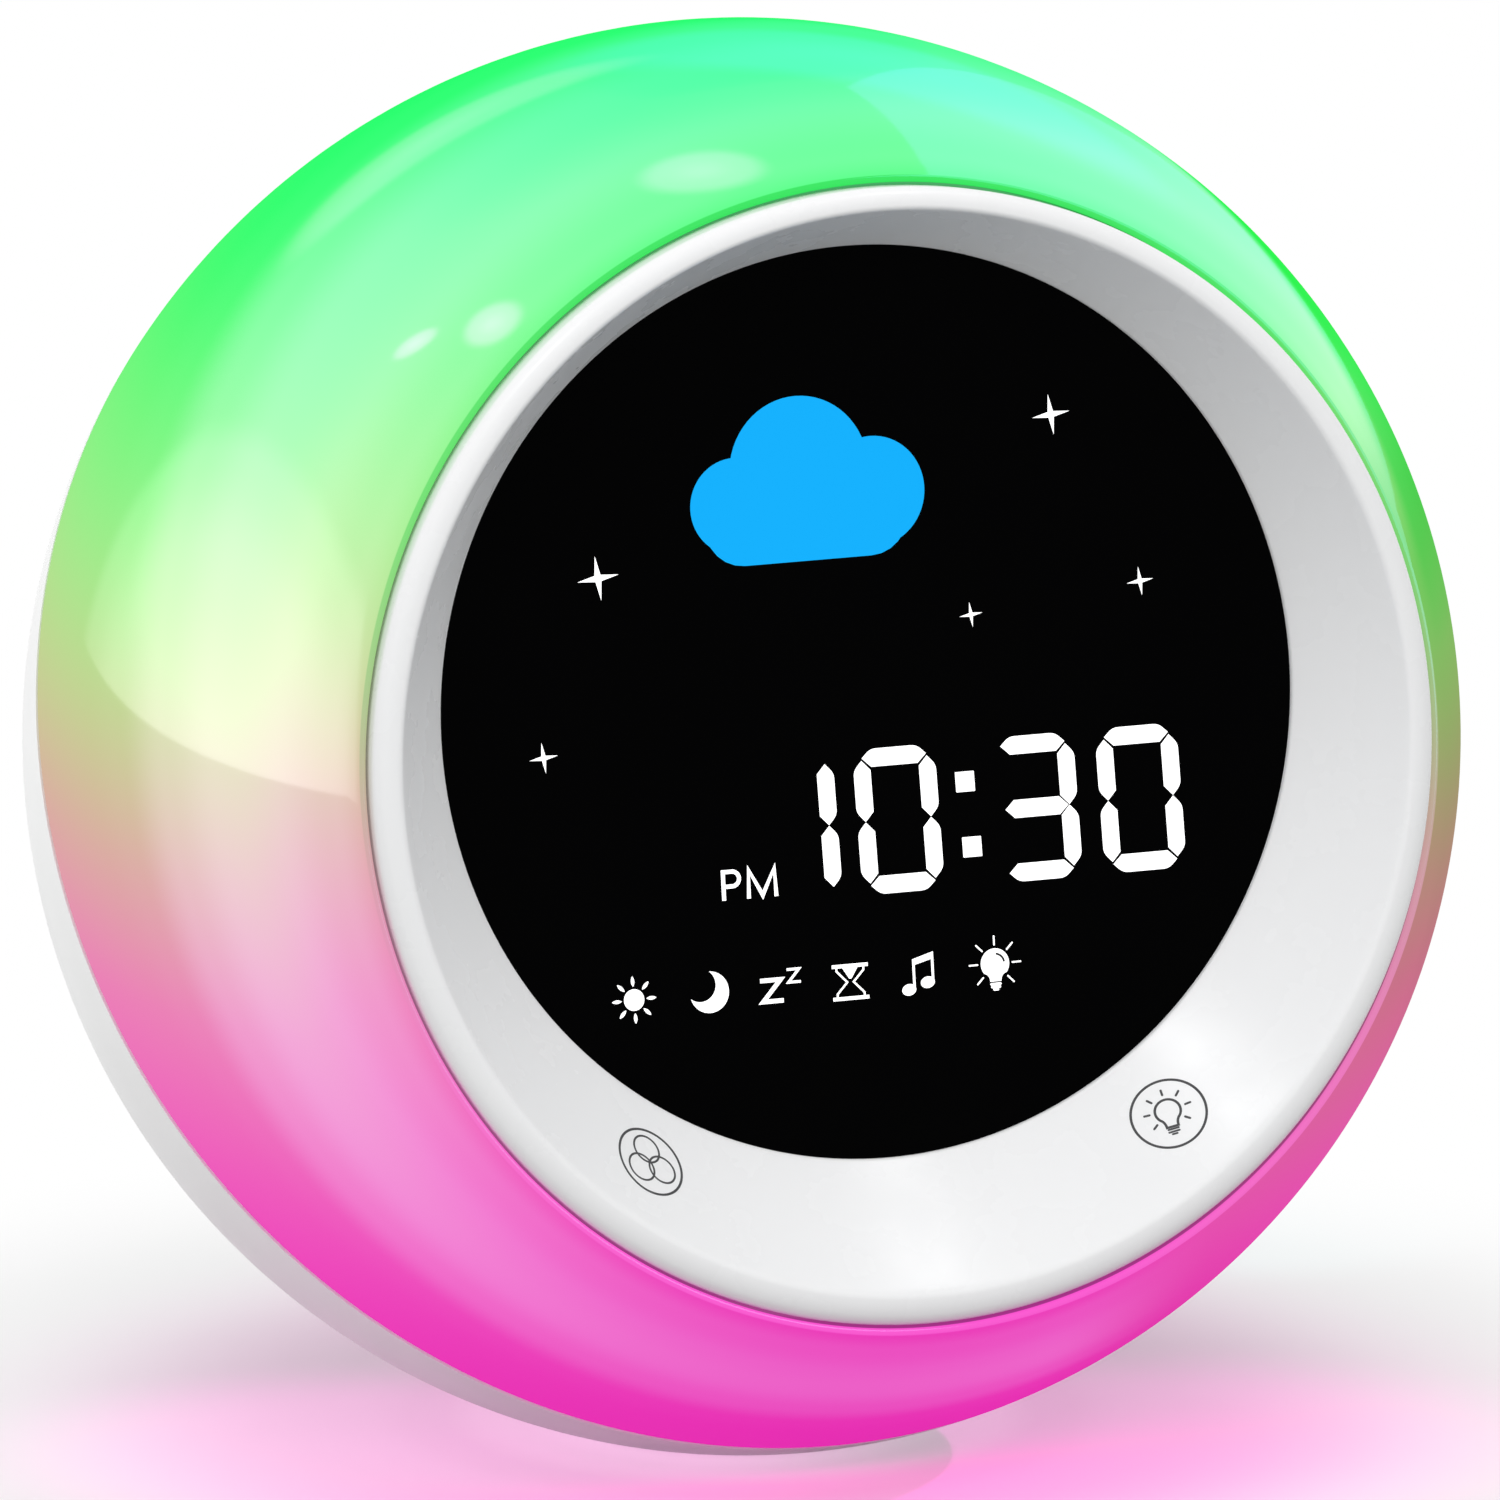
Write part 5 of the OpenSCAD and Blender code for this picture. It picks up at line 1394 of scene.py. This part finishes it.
def make_floor():
    """A white table top, which shows as plain white further from the clock. Near the clock it has a painted
    pink glow in its colour and a painted glow around the foot.
    """
    corners = [(x * FLOOR_SIZE, y * FLOOR_SIZE, 0) for x, y in ((-1, -1), (1, -1), (1, 1), (-1, 1))]
    floor = new_object("floor", corners, [(0, 1, 2, 3)])
    s = Shading("white_table")
    top = s.mix(s.noise(3, 2), (0.86, 0.86, 0.86, 1), (0.88, 0.88, 0.88, 1))
    away = s.node("ShaderNodeVectorMath", {0: s.place()}, operation="LENGTH").outputs["Value"]
    # A painted pink glow in a ring around the clock, in the table's colour
    painted_glow_ring = s.ramp(away, [(0.01, 0.0), (0.03, 1.0), (0.052, 1.0), (0.09, 0.0)], "EASE")
    bounced = s.node("ShaderNodeLightPath").outputs["Is Diffuse Ray"]
    top = s.mix(bounced, s.tint(painted_glow_ring, top, FLOOR_PAINTED_GLOW), FLOOR_BOUNCE)
    s.set(Base_Color=top, Roughness=0.6, Specular_IOR_Level=0.1)
    shown = s.shown()
    # A painted glow around the foot, which only the camera, gloss and glass see
    foot = s.math("MULTIPLY", shown, s.ramp(away, FOOT_FADE, "EASE"))
    s.set(Emission_Color=FOOT_PAINTED_GLOW, Emission_Strength=foot)
    fade = s.ramp(away, [(0.052, 0.0), (0.13, 1.0)], "EASE")
    white = s.node("ShaderNodeEmission", {"Color": (1, 1, 1, 1), "Strength": 1.0})
    s.blend(s.math("MULTIPLY", shown, fade), white)
    floor.data.materials.append(s.material)


make_camera()
make_world()
make_floor()

# Soft lamps, as name, direction, width and height in degrees, radiance and the one piece they light
SOFTBOXES = (
    ("front", (0.1, 0.3, 0.95), 40, 40, 0.68, None),
    ("back_left", (-0.84, 0.17, -0.5), 40, 40, 0.9, None),
    ("low_left", (-0.55, 0.05, 0.83), 30, 16, 2.6, None),
    ("bezel_fill", (0.42, 0.55, 0.72), 40, 40, 0.6, bezel),
    ("housing_fill", (-0.88, 0.11, 0.45), 40, 20, 2.6, housing))
for name, way, wide, high, radiance, piece in SOFTBOXES:
    lamp = softbox(name, seen_from(*way), wide, high, radiance)
    if piece:
        only_on(lamp, piece)

# Reflections of a room in the gloss
window_way = -RIGHT * cos(WINDOW_TURN) + UP.cross(RIGHT) * sin(WINDOW_TURN)
reflection("window", window_way, 80, 64, 8.5, diffuser, ((0, 1), (0.25, 0.9), (0.42, 0.45), (0.5, 0)))
side_wall()
reflection("back_panel", seen_from(0.127, 0.594, -0.794), 38, 30, 8, diffuser, ((0, 1), (0.3, 0.8), (0.5, 0)),
           colour=SKY_COLOUR)
SOFT_SPOT = ((0, 1), (0.3, 0.7), (0.5, 0))
SPOTS = (
    ("high_strip", diffuser, (-0.33, 0.62, -0.71), 32, 13, 8),
    ("bright_spot", diffuser, (-0.51, 0.847, 0.152), 9, 9, 20),
    ("small_spot", diffuser, (-0.638, 0.769, 0.044), 4, 7, 20),
    ("top_spot", diffuser, (-0.068, 0.98, -0.183), 15, 12, 14),
    ("slope_spot", bezel, (-0.27, 0.745, 0.61), 8, 10, 60),
    ("foot_spot", bezel, (0.404, 0.893, 0.197), 9, 7, 40))
for name, piece, way, wide, high, radiance in SPOTS:
    reflection(name, seen_from(*way), wide, high, radiance, piece, SOFT_SPOT)
spill("pink_spill_left", -33, 17, 110, 85, SPILL_PINK, 0.34)
spill("pink_spill_right", 42, 15, 110, 95, SPILL_PINK, 0.3)
spill("cyan_spill", 56, -85, 60, 60, (0.5, 1, 1), 0.15)

bpy.context.scene.view_settings.view_transform = "Standard"
